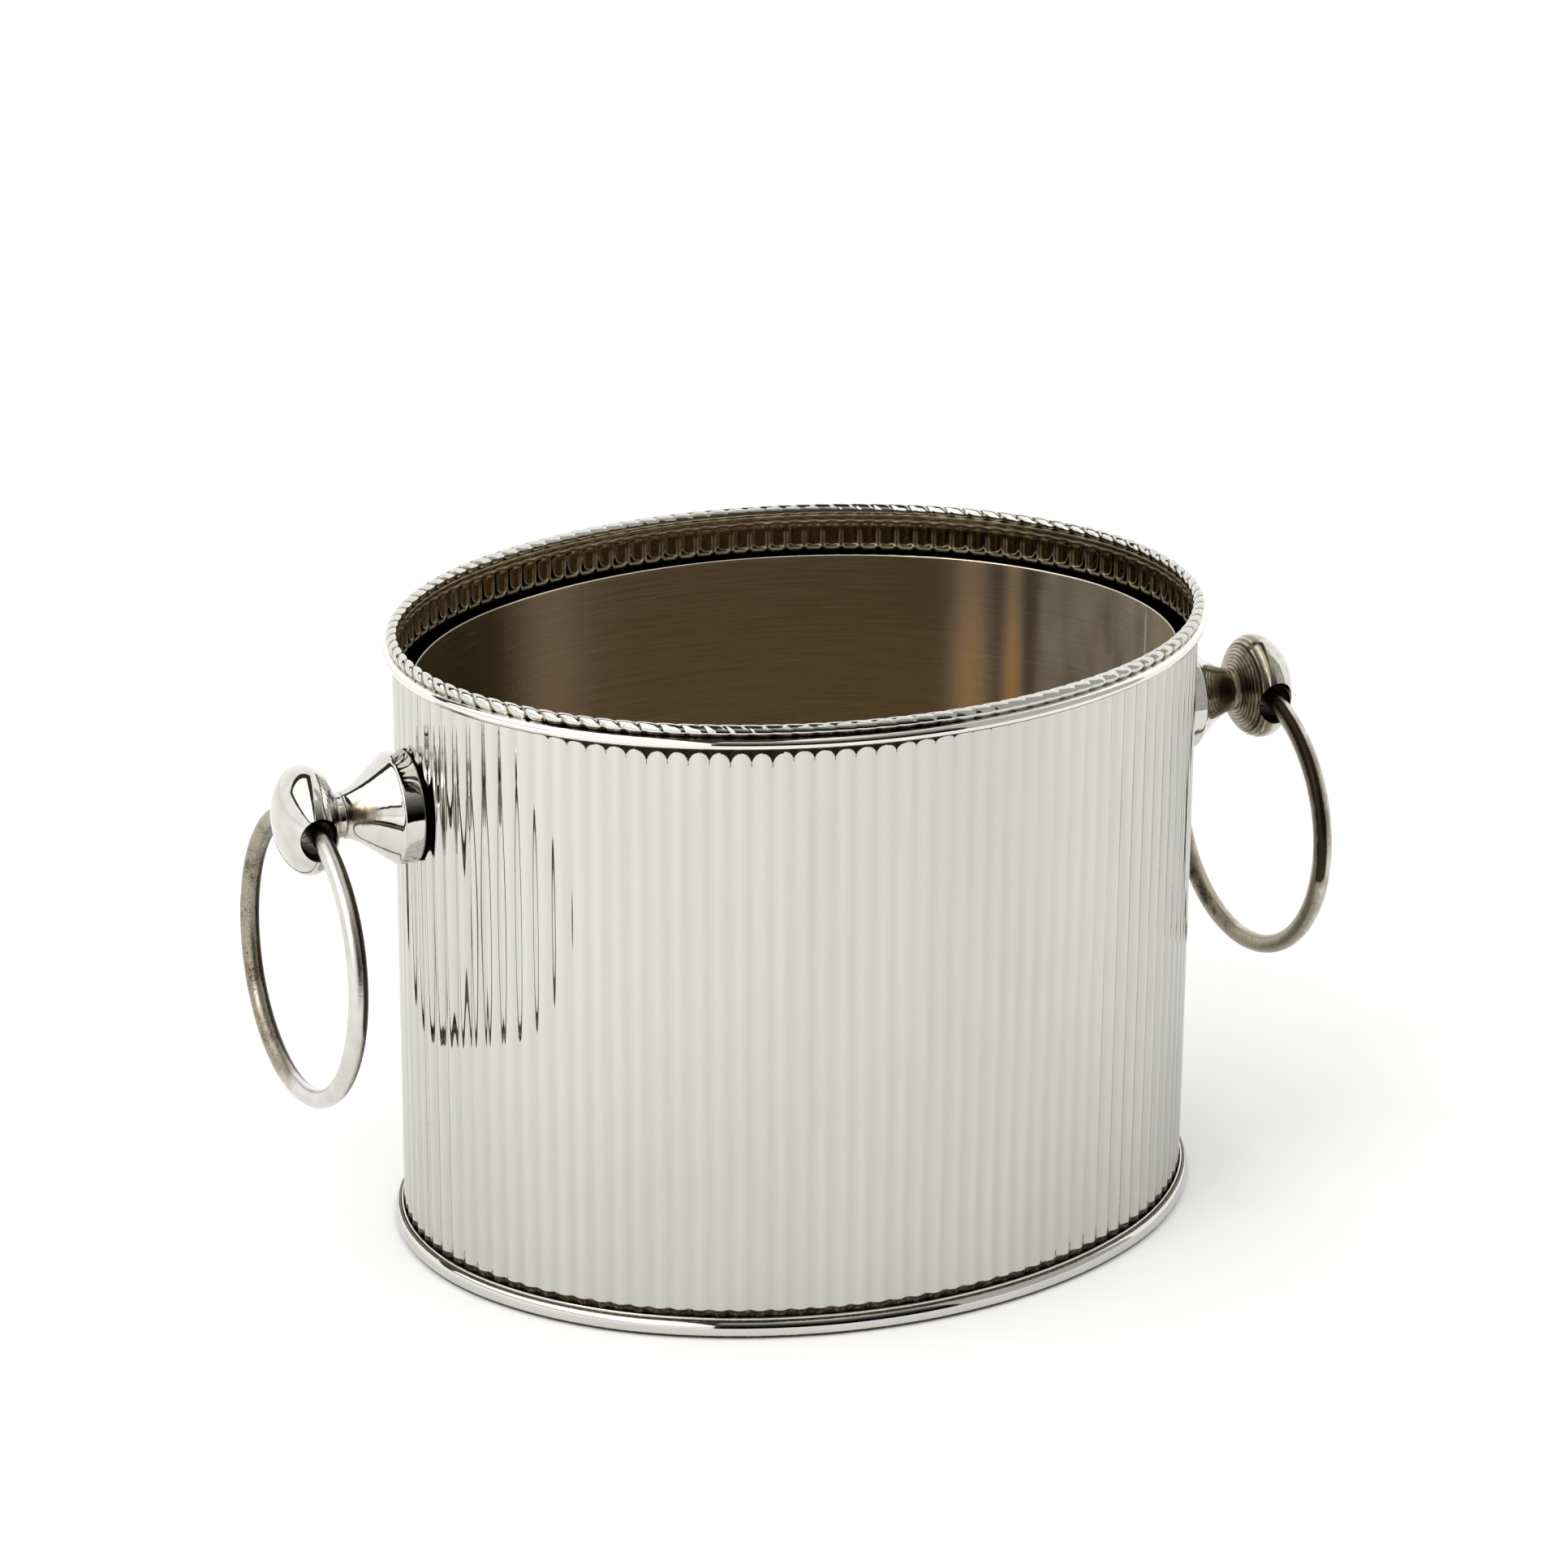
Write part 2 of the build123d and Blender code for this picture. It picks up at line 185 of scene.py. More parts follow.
def make_piece(name, points, faces, material, body, *stands_for, slot, sharp=35, **facts):
    """A smooth mesh piece that rides on a body and stands for CAD nodes. Edges
    bent by more than sharp degrees stay sharp. Each of the facts is one number
    per vertex that the material reads by name."""
    piece = mesh_object(name, points, faces)
    mesh = piece.data
    for fact, values in facts.items():
        layer = mesh.attributes.new(fact, "FLOAT", "POINT")
        layer.data.foreach_set("value", np.ascontiguousarray(values, np.float32).ravel())
    mesh.shade_smooth()
    if sharp:
        mesh.set_sharp_from_angle(angle=math.radians(sharp))
    mesh.materials.append(material)
    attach(piece, body)
    if stands_for:
        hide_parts(*stands_for)


def grid_faces(rows, columns, ring_rows=False, ring_columns=True):
    """Quads of a grid of points, joined round wherever it is a ring."""
    row, column = np.meshgrid(
        np.arange(rows if ring_rows else rows - 1),
        np.arange(columns if ring_columns else columns - 1),
        indexing="ij",
    )
    up, on = (row + 1) % rows, (column + 1) % columns
    quads = [row * columns + column, row * columns + on, up * columns + on, up * columns + column]
    return np.stack(quads, -1).reshape(-1, 4).tolist()


def fan(first, count, middle, reverse=False):
    """Triangles from a ring of points, which starts at first, to a middle point."""
    ring = [first + i for i in range(count)]
    following = ring[1:] + ring[:1]
    if reverse:
        ring, following = following, ring
    return [[a, b, middle] for a, b in zip(ring, following)]


def round_oval(grow, height, lengths):
    """Points of a grid that runs round the oval. Grow is rows by columns, and
    height is too, or one column."""
    base, facing = on_oval(lengths)
    flat = base[None] + grow[..., None] * facing[None]
    return np.concatenate([flat, np.broadcast_to(height, grow.shape)[..., None]], -1).reshape(-1, 3)


def arc(x, y, radius, first, last, count):
    """Points of an arc, with the angles in degrees."""
    angle = np.radians(np.linspace(first, last, count))
    return np.stack([x + radius * np.cos(angle), y + radius * np.sin(angle)], -1)


def smooth(values, low, high):
    """0 below low, 1 above high, and a soft step between them."""
    t = np.clip((values - low) / (high - low), 0, 1)
    return t * t * (3 - 2 * t)


def ripple(lengths, heights, sizes, seed):
    """Slow uneven waves in the sheet, about -1 to 1, at each height and length.
    Sizes are pairs: how long a wave is round the oval and up the wall."""
    draw = np.random.RandomState(seed)
    total = 0
    for along, up in sizes:
        turns = max(1, round(OVAL_LENGTH / along))
        phase, tilt = draw.uniform(0, 2 * math.pi, 2)
        wave = 2 * math.pi * turns * lengths / OVAL_LENGTH
        total = total + np.sin(wave + phase) * np.sin(2 * math.pi * heights / up + tilt)
    return total / len(sizes)


# ------------------------------------------------------------------- materials
class Nodes:
    """Makes and links the nodes of one tree."""

    def __init__(self, tree):
        self.tree = tree

    def node(self, kind, **settings):
        made = self.tree.nodes.new("ShaderNode" + kind)
        for key, value in settings.items():
            setattr(made, key, value)
        return made

    def put(self, socket, value):
        """Links a socket to another node's output, or sets its number or colour."""
        if isinstance(value, bpy.types.NodeSocket):
            self.tree.links.new(value, socket)
        elif isinstance(value, tuple) and len(value) == 3 and socket.type == "RGBA":
            socket.default_value = (*value, 1)
        else:
            socket.default_value = value

    def math(self, operation, *values):
        made = self.node("Math", operation=operation)
        for socket, value in zip(made.inputs, values):
            self.put(socket, value)
        return made.outputs[0]


class Shader(Nodes):
    """A node material round one Principled shader, with sizes in millimetres."""

    def __init__(self, name, **constants):
        self.material = bpy.data.materials.new(name)
        self.material.use_nodes = True
        super().__init__(self.material.node_tree)
        self.surface = self.tree.nodes["Principled BSDF"]
        for socket, value in constants.items():
            self.surface.inputs[socket.replace("_", " ")].default_value = value
        self.place = self.node("TexCoord").outputs["Object"]

    def noise(self, size, detail=3, stretch=(1, 1, 1), rough=0.5):
        """Noise with features of about this size, longer along stretched axes."""
        mapping = self.node("Mapping")
        self.put(mapping.inputs["Vector"], self.place)
        self.put(mapping.inputs["Scale"], tuple(1 / (size * MM * s) for s in stretch))
        made = self.node("TexNoise")
        self.put(made.inputs["Vector"], mapping.outputs["Vector"])
        self.put(made.inputs["Scale"], 1.0)
        self.put(made.inputs["Detail"], detail)
        self.put(made.inputs["Roughness"], rough)
        return made.outputs["Fac"]

    def fact(self, name):
        """A number that the mesh carries at its vertices."""
        return self.node("Attribute", attribute_name=name).outputs["Fac"]

    def axis(self, letter):
        """A coordinate of the point, in millimetres."""
        parts = self.node("SeparateXYZ")
        self.put(parts.inputs[0], self.place)
        return self.math("DIVIDE", parts.outputs[letter], MM)

    def step(self, value, low, high, bottom=0.0, top=1.0):
        """A soft step from bottom to top as the value goes from low to high."""
        made = self.node("MapRange", interpolation_type="SMOOTHSTEP")
        sockets = ("Value", "From Min", "From Max", "To Min", "To Max")
        for socket, number in zip(sockets, (value, low, high, bottom, top)):
            self.put(made.inputs[socket], number)
        return made.outputs["Result"]

    def mix(self, share, first, second):
        """The first colour, going to the second as the share goes to 1."""
        made = self.node("Mix", data_type="RGBA")
        self.put(made.inputs["Factor"], share)
        self.put(made.inputs[6], first)
        self.put(made.inputs[7], second)
        return made.outputs[2]

    def bump(self, height, depth):
        """Relief of this depth in millimetres, added to any that is there."""
        made = self.node("Bump")
        self.put(made.inputs["Height"], height)
        self.put(made.inputs["Distance"], depth * MM)
        self.put(made.inputs["Strength"], 1.0)
        links = self.surface.inputs["Normal"].links
        if links:
            self.put(made.inputs["Normal"], links[0].from_socket)
        self.put(self.surface.inputs["Normal"], made.outputs["Normal"])

    def finish(self, colour, roughness, metallic=None):
        self.put(self.surface.inputs["Base Color"], colour)
        self.put(self.surface.inputs["Roughness"], roughness)
        if metallic is not None:
            self.put(self.surface.inputs["Metallic"], metallic)
        return self.material


SILVER = (0.76, 0.75, 0.71)
HANDLE_SILVER = (0.61, 0.60, 0.57)
WORN_SILVER = (0.54, 0.525, 0.475)
SHEET_SILVER = (0.605, 0.605, 0.563)
FOOT_SILVER = (0.62, 0.62, 0.59)
OLIVE = (0.21, 0.17, 0.11)
# black for a dark joint, and for painted shade in crevices, grooves and gaps
DEEP_BLACK = (0.018, 0.014, 0.010)
# the handles' brown is both tarnish and painted shade
HANDLE_STAIN_AND_SHADE, HANDLE_BLACK = (0.30, 0.255, 0.18), (0.05, 0.037, 0.024)
RING_STAIN, RING_BLACK = (0.33, 0.29, 0.22), (0.035, 0.025, 0.016)
RING_SPECK = (0.025, 0.018, 0.012)
INNER_BROWN, INNER_DARK_BROWN = (0.33, 0.275, 0.19), (0.29, 0.24, 0.165)
# gold of the painted highlights along the inner reeds' edges
GLINT_GOLD = (0.97, 0.82, 0.54)
LINER_STEEL, LINER_STREAK = (0.66, 0.595, 0.49), (0.76, 0.69, 0.57)
LINER_FRESH, LINER_FRESH_STREAK = (0.66, 0.655, 0.64), (0.74, 0.735, 0.72)
# the amber of the liner's painted glows of reflected light
PAINTED_AMBER_GLOW, LINER_GREY = (0.66, 0.34, 0.10), (0.76, 0.67, 0.52)
# the second colour here is the liner's painted shade at its left end
LINER_SEAM, LINER_DIM = (0.95, 0.93, 0.88), (0.10, 0.085, 0.045)
LINER_SCRATCH = (0.90, 0.87, 0.80)


def polished_silver(name, silver, darkening, relief):
    """Bright plate, with soft cloudy patches, painted shade where the mesh's shade
    fact is high, and olive to black where its fact of grime and painted shade is,
    broken up by noise. The thresholds say where that darkening begins and is full."""
    darkening_low, darkening_high = darkening
    look = Shader(name, Metallic=1.0)
    cloud = look.noise(40, detail=3, stretch=(1, 1, 6))
    shaded = tuple(0.93 * part for part in silver)
    clear = look.mix(look.step(cloud, 0.3, 0.75), silver, shaded)
    # painted shade, where the mesh's shade fact is high
    clear = look.mix(look.fact("shade"), clear, tuple(0.5 * part for part in silver))
    speckle = look.noise(1.6, detail=6, rough=0.7)
    grime = look.math("ADD", look.fact("grime"), look.math("MULTIPLY_ADD", speckle, 0.7, -0.35))
    stained_and_shaded = look.mix(look.step(grime, darkening_low, darkening_high), clear, OLIVE)
    blackened = look.mix(look.step(grime, darkening_high, darkening_high + 0.35), stained_and_shaded, DEEP_BLACK)
    smear = look.noise(9, detail=5, stretch=(1, 1, 4), rough=0.65)
    gloss = look.step(smear, 0.3, 0.8, 0.035, 0.095)
    worn = look.math("ADD", gloss, look.step(grime, darkening_low, darkening_high + 0.3, 0.0, 0.3))
    look.bump(look.noise(14, detail=2, stretch=(1, 1, 3)), relief)
    return look.finish(blackened, worn)


def turned_silver():
    """Knobs and stems: bright where hands polish them, and brown to black where
    their grime and painted shade are high. There the knobs show the
    turning tool's fine grooves as well."""
    look = Shader("turned_silver", Metallic=1.0)
    cloud = look.noise(7, detail=5, rough=0.6)
    clear = look.mix(look.step(cloud, 0.4, 0.7), HANDLE_SILVER, WORN_SILVER)
    streak = look.noise(2.2, detail=6, stretch=(0.35, 1.5, 1.5), rough=0.7)
    turning = look.math("SINE", look.math("MULTIPLY", look.fact("turned"), 5.0))
    depth = look.math("MULTIPLY", turning, look.step(look.fact("grime"), 0.25, 0.7))
    uneven = look.math("MULTIPLY_ADD", streak, 0.8, -0.4)
    grime = look.math("ADD", look.fact("grime"), look.math("MULTIPLY_ADD", depth, 0.22, uneven))
    stained_and_shaded = look.mix(look.step(grime, 0.3, 0.62), clear, HANDLE_STAIN_AND_SHADE)
    blackened = look.mix(look.step(grime, 0.66, 1.1), stained_and_shaded, HANDLE_BLACK)
    roughness = look.step(grime, 0.2, 0.9, 0.05, 0.26)
    look.bump(depth, 0.05)
    look.bump(look.noise(5, detail=2), 0.05)
    return look.finish(blackened, roughness)


def ring_silver():
    """Ring wire: polished in front, with a brown patina and black specks behind,
    and a painted dark reflection along its inner side at the upper front.
    """
    look = Shader("ring_silver", Metallic=1.0)
    blotch = look.noise(9, detail=5, rough=0.6)
    fleck = look.noise(1.1, detail=8, rough=0.8)
    grime = look.math("ADD", look.fact("grime"), look.math("MULTIPLY_ADD", blotch, 0.9, -0.45))
    clear = look.mix(look.step(look.noise(8), 0.4, 0.7), HANDLE_SILVER, WORN_SILVER)
    stained_and_shaded = look.mix(look.step(grime, 0.15, 0.5), clear, RING_STAIN)
    blackened = look.mix(look.step(grime, 0.62, 1.0), stained_and_shaded, RING_BLACK)
    pitted = look.math("MULTIPLY", look.step(fleck, 0.50, 0.58), look.step(grime, 0.42, 0.85))
    specked = look.mix(pitted, blackened, RING_SPECK)
    look.bump(fleck, 0.10)
    return look.finish(specked, look.step(grime, 0.1, 0.9, 0.05, 0.30))


def inner_silver():
    """Inside of the reeded sheet, where the plate has gone brown, with painted
    gold highlights along the edges of each reed and of the bead, and black
    painted shade under the bead and down by the liner."""
    look = Shader("inner_silver", Metallic=1.0)
    cloud = look.noise(12, detail=2, stretch=(1, 1, 0.6))
    brown = look.mix(look.step(cloud, 0.35, 0.7), INNER_BROWN, INNER_DARK_BROWN)
    # painted highlights: gold along the edges of the reeds and the bead
    rubbed = look.math("MULTIPLY", look.fact("rubbed"), look.step(cloud, 0.25, 0.6, 1.0, 0.7))
    lined = look.mix(rubbed, brown, GLINT_GOLD)
    uneven = look.math("MULTIPLY_ADD", look.noise(1.8, detail=4), 0.2, -0.1)
    grime = look.math("ADD", look.fact("grime"), uneven)
    # painted shade in black, under the bead and down by the liner
    dark = look.mix(look.step(grime, 0.35, 0.8), lined, DEEP_BLACK)
    metal = look.math("MULTIPLY_ADD", rubbed, -0.55, 1.0)
    return look.finish(dark, look.step(look.noise(5), 0.3, 0.7, 0.06, 0.10), metal)


def brushed_liner(name, floor=False):
    """Brushed steel that has warmed to brown, with fine scratches. The wall is
    fresh outside, and inside has painted glows of amber reflected light, painted
    shade at its left end, and greyer steel by its seam."""
    look = Shader(name, Anisotropic=0.0 if floor else 0.7)
    along = (50, 1, 50) if floor else (60, 60, 1)
    brushing = look.noise(0.5, detail=4, stretch=along, rough=0.6)
    streaks = look.step(brushing, 0.40, 0.64, 0.0, 0.22)
    colour = look.mix(streaks, LINER_STEEL, LINER_STREAK)
    metal = 1.0
    if not floor:
        fresh = look.mix(brushing, LINER_FRESH, LINER_FRESH_STREAK)
        colour = look.mix(look.fact("aged"), fresh, colour)
        drift = look.noise(18, detail=3, stretch=(1, 1, 3), rough=0.6)
        worn = look.math("MULTIPLY", look.fact("worn"), look.step(drift, 0.25, 0.7, 0.45, 1.0))
        # painted glow: streaks of amber reflected light mixed into the colour
        colour = look.mix(look.math("MULTIPLY", look.fact("glow"), 0.95), colour, PAINTED_AMBER_GLOW)
        colour = look.mix(worn, colour, LINER_GREY)
        rubs = look.noise(1.2, detail=5, stretch=(14, 1.5, 1.5), rough=0.65)
        rubbed = look.math("MULTIPLY", worn, look.step(rubs, 0.5, 0.7, 0.0, 0.5))
        colour = look.mix(rubbed, colour, SILVER)
        colour = look.mix(look.fact("seam"), colour, LINER_SEAM)
        # painted shade at the left end
        colour = look.mix(look.fact("dim"), colour, LINER_DIM)
        # less metal in the painted glows, by the seam and in the greyer steel
        softened = look.math("MULTIPLY", look.fact("glow"), 0.48)
        dulled = look.math("MAXIMUM", worn, look.fact("seam"))
        metal = look.math("SUBTRACT", 1.0, look.math("MULTIPLY_ADD", dulled, 0.26, softened))
        tangent = look.node("Tangent", direction_type="RADIAL", axis="Z")
        look.put(look.surface.inputs["Tangent"], tangent.outputs["Tangent"])
    scratches = look.noise(0.4, detail=2, stretch=(70, 70, 2.5))
    outside_glows = look.math("SUBTRACT", 1.0, look.fact("glow"))
    scored = look.math("MULTIPLY", look.step(scratches, 0.66, 0.74, 0.0, 0.6), outside_glows)
    colour = look.mix(scored, colour, LINER_SCRATCH)
    look.bump(brushing, 0.004)
    return look.finish(colour, look.step(brushing, 0.3, 0.7, 0.21, 0.27), metal)


def plain_metal(name, light, dark, roughness):
    """A hidden part: drawn, rolled or machined metal with dull blotches."""
    look = Shader(name, Metallic=1.0)
    blotch = look.noise(6, detail=5, rough=0.65)
    look.bump(look.noise(0.6, detail=3, stretch=(1, 1, 8)), 0.01)
    colour = look.mix(look.step(blotch, 0.35, 0.7), light, dark)
    return look.finish(colour, look.step(blotch, 0.3, 0.8, roughness, roughness + 0.2))


def black_rubber():
    """The pads under and round the liner."""
    look = Shader("black_rubber")
    grain = look.noise(0.7, detail=6, rough=0.7)
    look.bump(grain, 0.05)
    fading = look.step(look.noise(9), 0.35, 0.7)
    colour = look.mix(fading, (0.016, 0.016, 0.017), (0.034, 0.033, 0.032))
    return look.finish(colour, look.step(grain, 0.3, 0.7, 0.55, 0.8))


SHELL_LOOK = polished_silver("shell_silver", SHEET_SILVER, darkening=(0.55, 0.85), relief=0.01)
BAND_LOOK = polished_silver("band_silver", SILVER, darkening=(0.50, 0.80), relief=0.05)
FOOT_LOOK = polished_silver("foot_silver", FOOT_SILVER, darkening=(0.50, 0.80), relief=0.03)
INNER_LOOK = inner_silver()
TURNED_LOOK = turned_silver()
RING_LOOK = ring_silver()
LINER_LOOK = brushed_liner("liner_brushed")
FLOOR_LOOK = brushed_liner("liner_floor_brushed", floor=True)
SHEET_LOOK = plain_metal("satin_sheet", (0.62, 0.60, 0.55), (0.45, 0.42, 0.36), roughness=0.28)
WIRE_LOOK = plain_metal("drawn_wire", (0.50, 0.49, 0.46), (0.30, 0.28, 0.25), roughness=0.35)
BRASS_LOOK = plain_metal("machined_brass", (0.72, 0.55, 0.27), (0.48, 0.35, 0.17), roughness=0.25)
RUBBER_LOOK = black_rubber()

# ----------------------------------------------------------------- outer shell
COLUMNS_PER_REED = 24
reed_lengths = even_lengths(REED_COUNT * COLUMNS_PER_REED)
SEAM_LENGTH = OVAL_LENGTH / 2 + SEAM_GROOVE * REED_PITCH
SEAM_STRIP = (0.9, 1.2)  # from the seam to where its flat strip starts to fade, and ends
SEAM_DEPTH = 0.55 * REED_DEPTH
# waves in the reeds' depth and in the whole sheet: lengths round and up the wall
REED_WAVES = ((31, 160), (57, 90))
SHEET_WAVES = ((64, 240), (110, 150), (23, 97))
ROLL_REEDS = 0.5  # depth of the reeds where they run over the roll
# the roll's section, in degrees from its outermost point
ROLL_FROM, ROLL_TO, ROLL_ROWS = -62, 219, 44


def reed_drop(lengths, slant):
    """How far the sheet lies behind its crests: 0 on a crest and 1 in a groove.
    Slant shifts the reeds along, in reeds."""
    turns = lengths / REED_PITCH + slant
    away = 2 * np.abs((turns + 0.5) % 1 - 0.5)
    return (1 - np.cos(math.pi * away**REED_SHAPE)) / 2


def long_side(lengths):
    """1 along the middles of the two long sides, and 0 round the ends."""
    share = lengths / OVAL_LENGTH % 0.5
    return smooth(share, 0.10, 0.16) * (1 - smooth(share, 0.30, 0.38))


def shade_under_rim(lengths):
    """How much painted shade lies under the rim: most on the first half of each long side."""
    share = lengths / OVAL_LENGTH % 0.5
    fading = (1 - 0.75 * smooth(share, 0.19, 0.28)) * (1 - smooth(share, 0.27, 0.33))
    return smooth(share, 0.05, 0.14) * fading


def sheet_points(rows, depths, slants, directions, narrow=1.0):
    """Grid points of the reeded sheet, and how far each lies behind the crests.
    Each row has a grow and height, the depth and slant of its reeds there, and
    the way that its surface faces. Grooves are narrower where narrow is over 1."""
    lengths, heights = reed_lengths[None], rows[:, 1:2]
    drop = reed_drop(lengths, slants[:, None]) ** narrow * depths
    drop = drop * (1 + 0.05 * ripple(lengths, heights, REED_WAVES, 3))
    drop = drop - 0.04 * ripple(lengths, heights, SHEET_WAVES, 5)
    strip = (1 - smooth(np.abs(lengths - SEAM_LENGTH), *SEAM_STRIP)) * smooth(depths, 0.6, 0.7)
    drop = drop * (1 - strip) + strip * SEAM_DEPTH
    grow = rows[:, :1] - drop * directions[:, :1]
    height = heights - drop * directions[:, 1:2]
    return round_oval(grow, height, reed_lengths), drop


def outer_grime(height, angles, on_wall, drop, depths):
    """Where the outside is darkened: mostly painted shade, and a dark line along
    the seam. Angles are the rows' places on the roll.
    """
    # painted shade in the crevice above the foot moulding, with a scalloped upper edge
    crevice_shade = 1 - smooth(height - 0.25 * drop, FOOT_HEIGHT + 2.2, FOOT_HEIGHT + 2.5)
    # painted shade under the rim band, reaching down in a pointed tooth at each groove
    from_groove = np.abs(reed_lengths / REED_PITCH % 1 - 0.5)[None]
    draw = np.random.RandomState(8).uniform(0.7, 1.25, REED_COUNT)
    reach = draw[(reed_lengths // REED_PITCH).astype(int)] * shade_under_rim(reed_lengths)
    below = BAND_HEIGHT - BAND_RADIUS - height
    arch = 1 - np.sqrt(np.clip(1 - (1 - 2 * from_groove) ** 2, 0, 1))
    tooth = (1.6 + 4.6 * arch) * reach[None]
    teeth = (1 - smooth(below - tooth, -0.2, 0.15)) * on_wall
    # painted shade: dark dashes on the lower side of the roll, above the band
    dashes = (1 - smooth(angles, -14, -4)) * smooth(shade_under_rim(reed_lengths), 0.1, 0.5)[None]
    # painted shade in the grooves, on the roll and at the right end, and a dark
    # line along the seam
    crease_shade = np.where(on_wall, smooth(drop / depths, 0.85, 1.0), smooth(drop / depths, 0.4, 0.9))
    right_end = 1 - smooth(from_right_end(reed_lengths), 0.083, 0.098)
    on_roll = 0.85 - 0.7 * long_side(reed_lengths)
    lines = np.where(on_wall, 0.85 * right_end[None], on_roll[None])
    seam_line = np.exp(-(((reed_lengths - SEAM_LENGTH + 1.1) / 0.3) ** 2))[None] * on_wall
    grime = np.maximum(np.maximum(1.12 * crevice_shade * on_wall, 1.25 * teeth), 1.1 * dashes)
    return np.clip(grime + crease_shade * lines + 0.9 * seam_line, 0, 1.3)


def outer_shade(height, on_wall):
    """Painted shade on the outside: in the grooves, mostly round the ends, and
    towards the foot and the right."""
    from_right = from_right_end(reed_lengths)
    groove = 0.5 - 0.5 * np.cos(2 * math.pi * (reed_lengths / REED_PITCH))
    painted_shade = (0.21 - 0.05 * long_side(reed_lengths)) * groove
    painted_shade = painted_shade + 0.10 * (1 - smooth(from_right, 0.30, 0.42))
    painted_shade = painted_shade + 0.36 * (1 - smooth(from_right, 0.07, 0.14))
    shade = painted_shade[None] + 0.09 * (1 - smooth(height, 5, 150))
    return np.clip(shade * np.where(on_wall, 1.0, 0.3), 0, 1)


def outer_sheet():
    """The outside of the wall and the roll along its top edge, as one skin."""
    wall_top = BAND_HEIGHT + 0.6
    heights = np.concatenate([
        np.linspace(SHELL_FOOT, FOOT_HEIGHT, 4)[:-1],
        np.linspace(FOOT_HEIGHT, FOOT_HEIGHT + 4, 14)[:-1],
        np.linspace(FOOT_HEIGHT + 4, wall_top - 10, 28)[:-1],
        np.linspace(wall_top - 10, wall_top, 34),
    ])
    wall = np.stack([np.zeros_like(heights), heights], -1)
    angles = np.linspace(ROLL_FROM, ROLL_TO, ROLL_ROWS)
    middle = HEIGHT - ROLL_RADIUS - ROLL_SINK
    roll = arc(ROLL_GROW, middle, ROLL_RADIUS, ROLL_FROM, ROLL_TO, ROLL_ROWS)
    rows = np.concatenate([wall, roll])
    on_wall = (np.arange(len(rows)) < len(wall))[:, None]
    shallow = 1 - 0.65 * long_side(reed_lengths)
    depths = np.where(on_wall, WORN_DEPTH, ROLL_REEDS * shallow[None])
    slants = np.concatenate([np.zeros(len(wall)), 0.9 * smooth(angles, -20, 200)])
    outwards = np.tile([1.0, 0.0], (len(wall), 1))
    facing = np.concatenate([outwards, (roll - [ROLL_GROW, middle]) / ROLL_RADIUS])
    points, drop = sheet_points(rows, depths, slants, facing, np.where(on_wall, 1.0, 2.4))
    height = rows[:, 1:2]
    row_angles = np.concatenate([np.full(len(wall), 90.0), angles])[:, None]
    make_piece(
        "reeded_shell", points, grid_faces(len(rows), len(reed_lengths)), SHELL_LOOK,
        "bucket", "outer_shell", slot="shell_plate", sharp=None,
        grime=outer_grime(height, row_angles, on_wall, drop, depths),
        shade=outer_shade(height, on_wall),
    )


def inner_sheet():
    """The inside of the wall: brown, with the reeds seen from behind."""
    top = HEIGHT - ROLL_RADIUS - 1.3
    # the bead under the roll: grow, distance down and share of the reeds' depth
    bead = np.array([
        (-1.75, 0, 0.35), (-1.85, 0.5, 0.3), (-1.9, 1.2, 0.3), (-1.8, 1.7, 0.3),
        (-1.35, 2.1, 0.35), (-1.2, 2.5, 0.45), (-1.3, 3.0, 0.5), (-1.35, 3.6, 0.5),
        (-1.3, 4.1, 0.55), (-1.0, 4.6, 0.8), (-0.84, 5.1, 0.95), (-0.8, 5.6, 1.0),
    ])
    bead[:, 1] = top - bead[:, 1]
    lower = np.concatenate([np.linspace(top - 6.2, 205, 36), np.linspace(200, SHELL_FOOT, 8)])
    lower = np.stack([np.full(len(lower), -SHEET), lower, np.ones(len(lower))], -1)
    rows = np.concatenate([bead, lower])
    height = rows[:, 1:2]
    facing = np.tile([1.0, 0.0], (len(rows), 1))
    depths = rows[:, 2:] * WORN_DEPTH
    points, drop = sheet_points(rows[:, :2], depths, np.zeros(len(rows)), facing)
    # painted shade: a dark line under the bead, and the gap down by the liner
    line = np.exp(-(((height - top + 3.3) / 0.5) ** 2))
    deep = 1 - smooth(height, LINER_TOP - 3, LINER_TOP + 0.5)
    # painted highlight along each reed's outline: two upright edges that meet in a
    # round bottom
    from_crest = np.abs((reed_lengths / REED_PITCH + 0.5) % 1 - 0.5)[None]
    down = np.clip(LINER_TOP + 5.3 - height, 0, None)
    outline = ((from_crest / 0.42) ** 4 + (down / 4.4) ** 4) ** 0.25
    rubbed = np.exp(-(((outline - 1) / 0.11) ** 2)) * (1 - smooth(height, top - 7.5, top - 6.0))
    rubbed = rubbed * (0.45 + 0.55 * smooth(down, 1.5, 4.0))
    # and painted highlights in two bright wavy lines, along the edges of the bead
    waves = height - top + 0.5 * drop
    upper_line, lower_line = (np.exp(-(((waves + low) / 0.3) ** 2)) for low in (0.6, 2.7))
    make_piece(
        "reeded_shell_inside", points, grid_faces(len(rows), len(reed_lengths)), INNER_LOOK,
        "bucket", slot="shell_plate", sharp=None,
        grime=np.broadcast_to(np.clip(0.6 * line + deep, 0, 1), drop.shape),
        rubbed=np.clip(0.9 * rubbed + upper_line + lower_line, 0, 1),
    )


outer_sheet()
inner_sheet()


# -------------------------------------------------- rim band and foot moulding
MOULDING_COLUMNS = 1180
MOULDING_WAVES = ((90, 40), (37, 60), (160, 90))
MOULDING_WOBBLE = 0.05


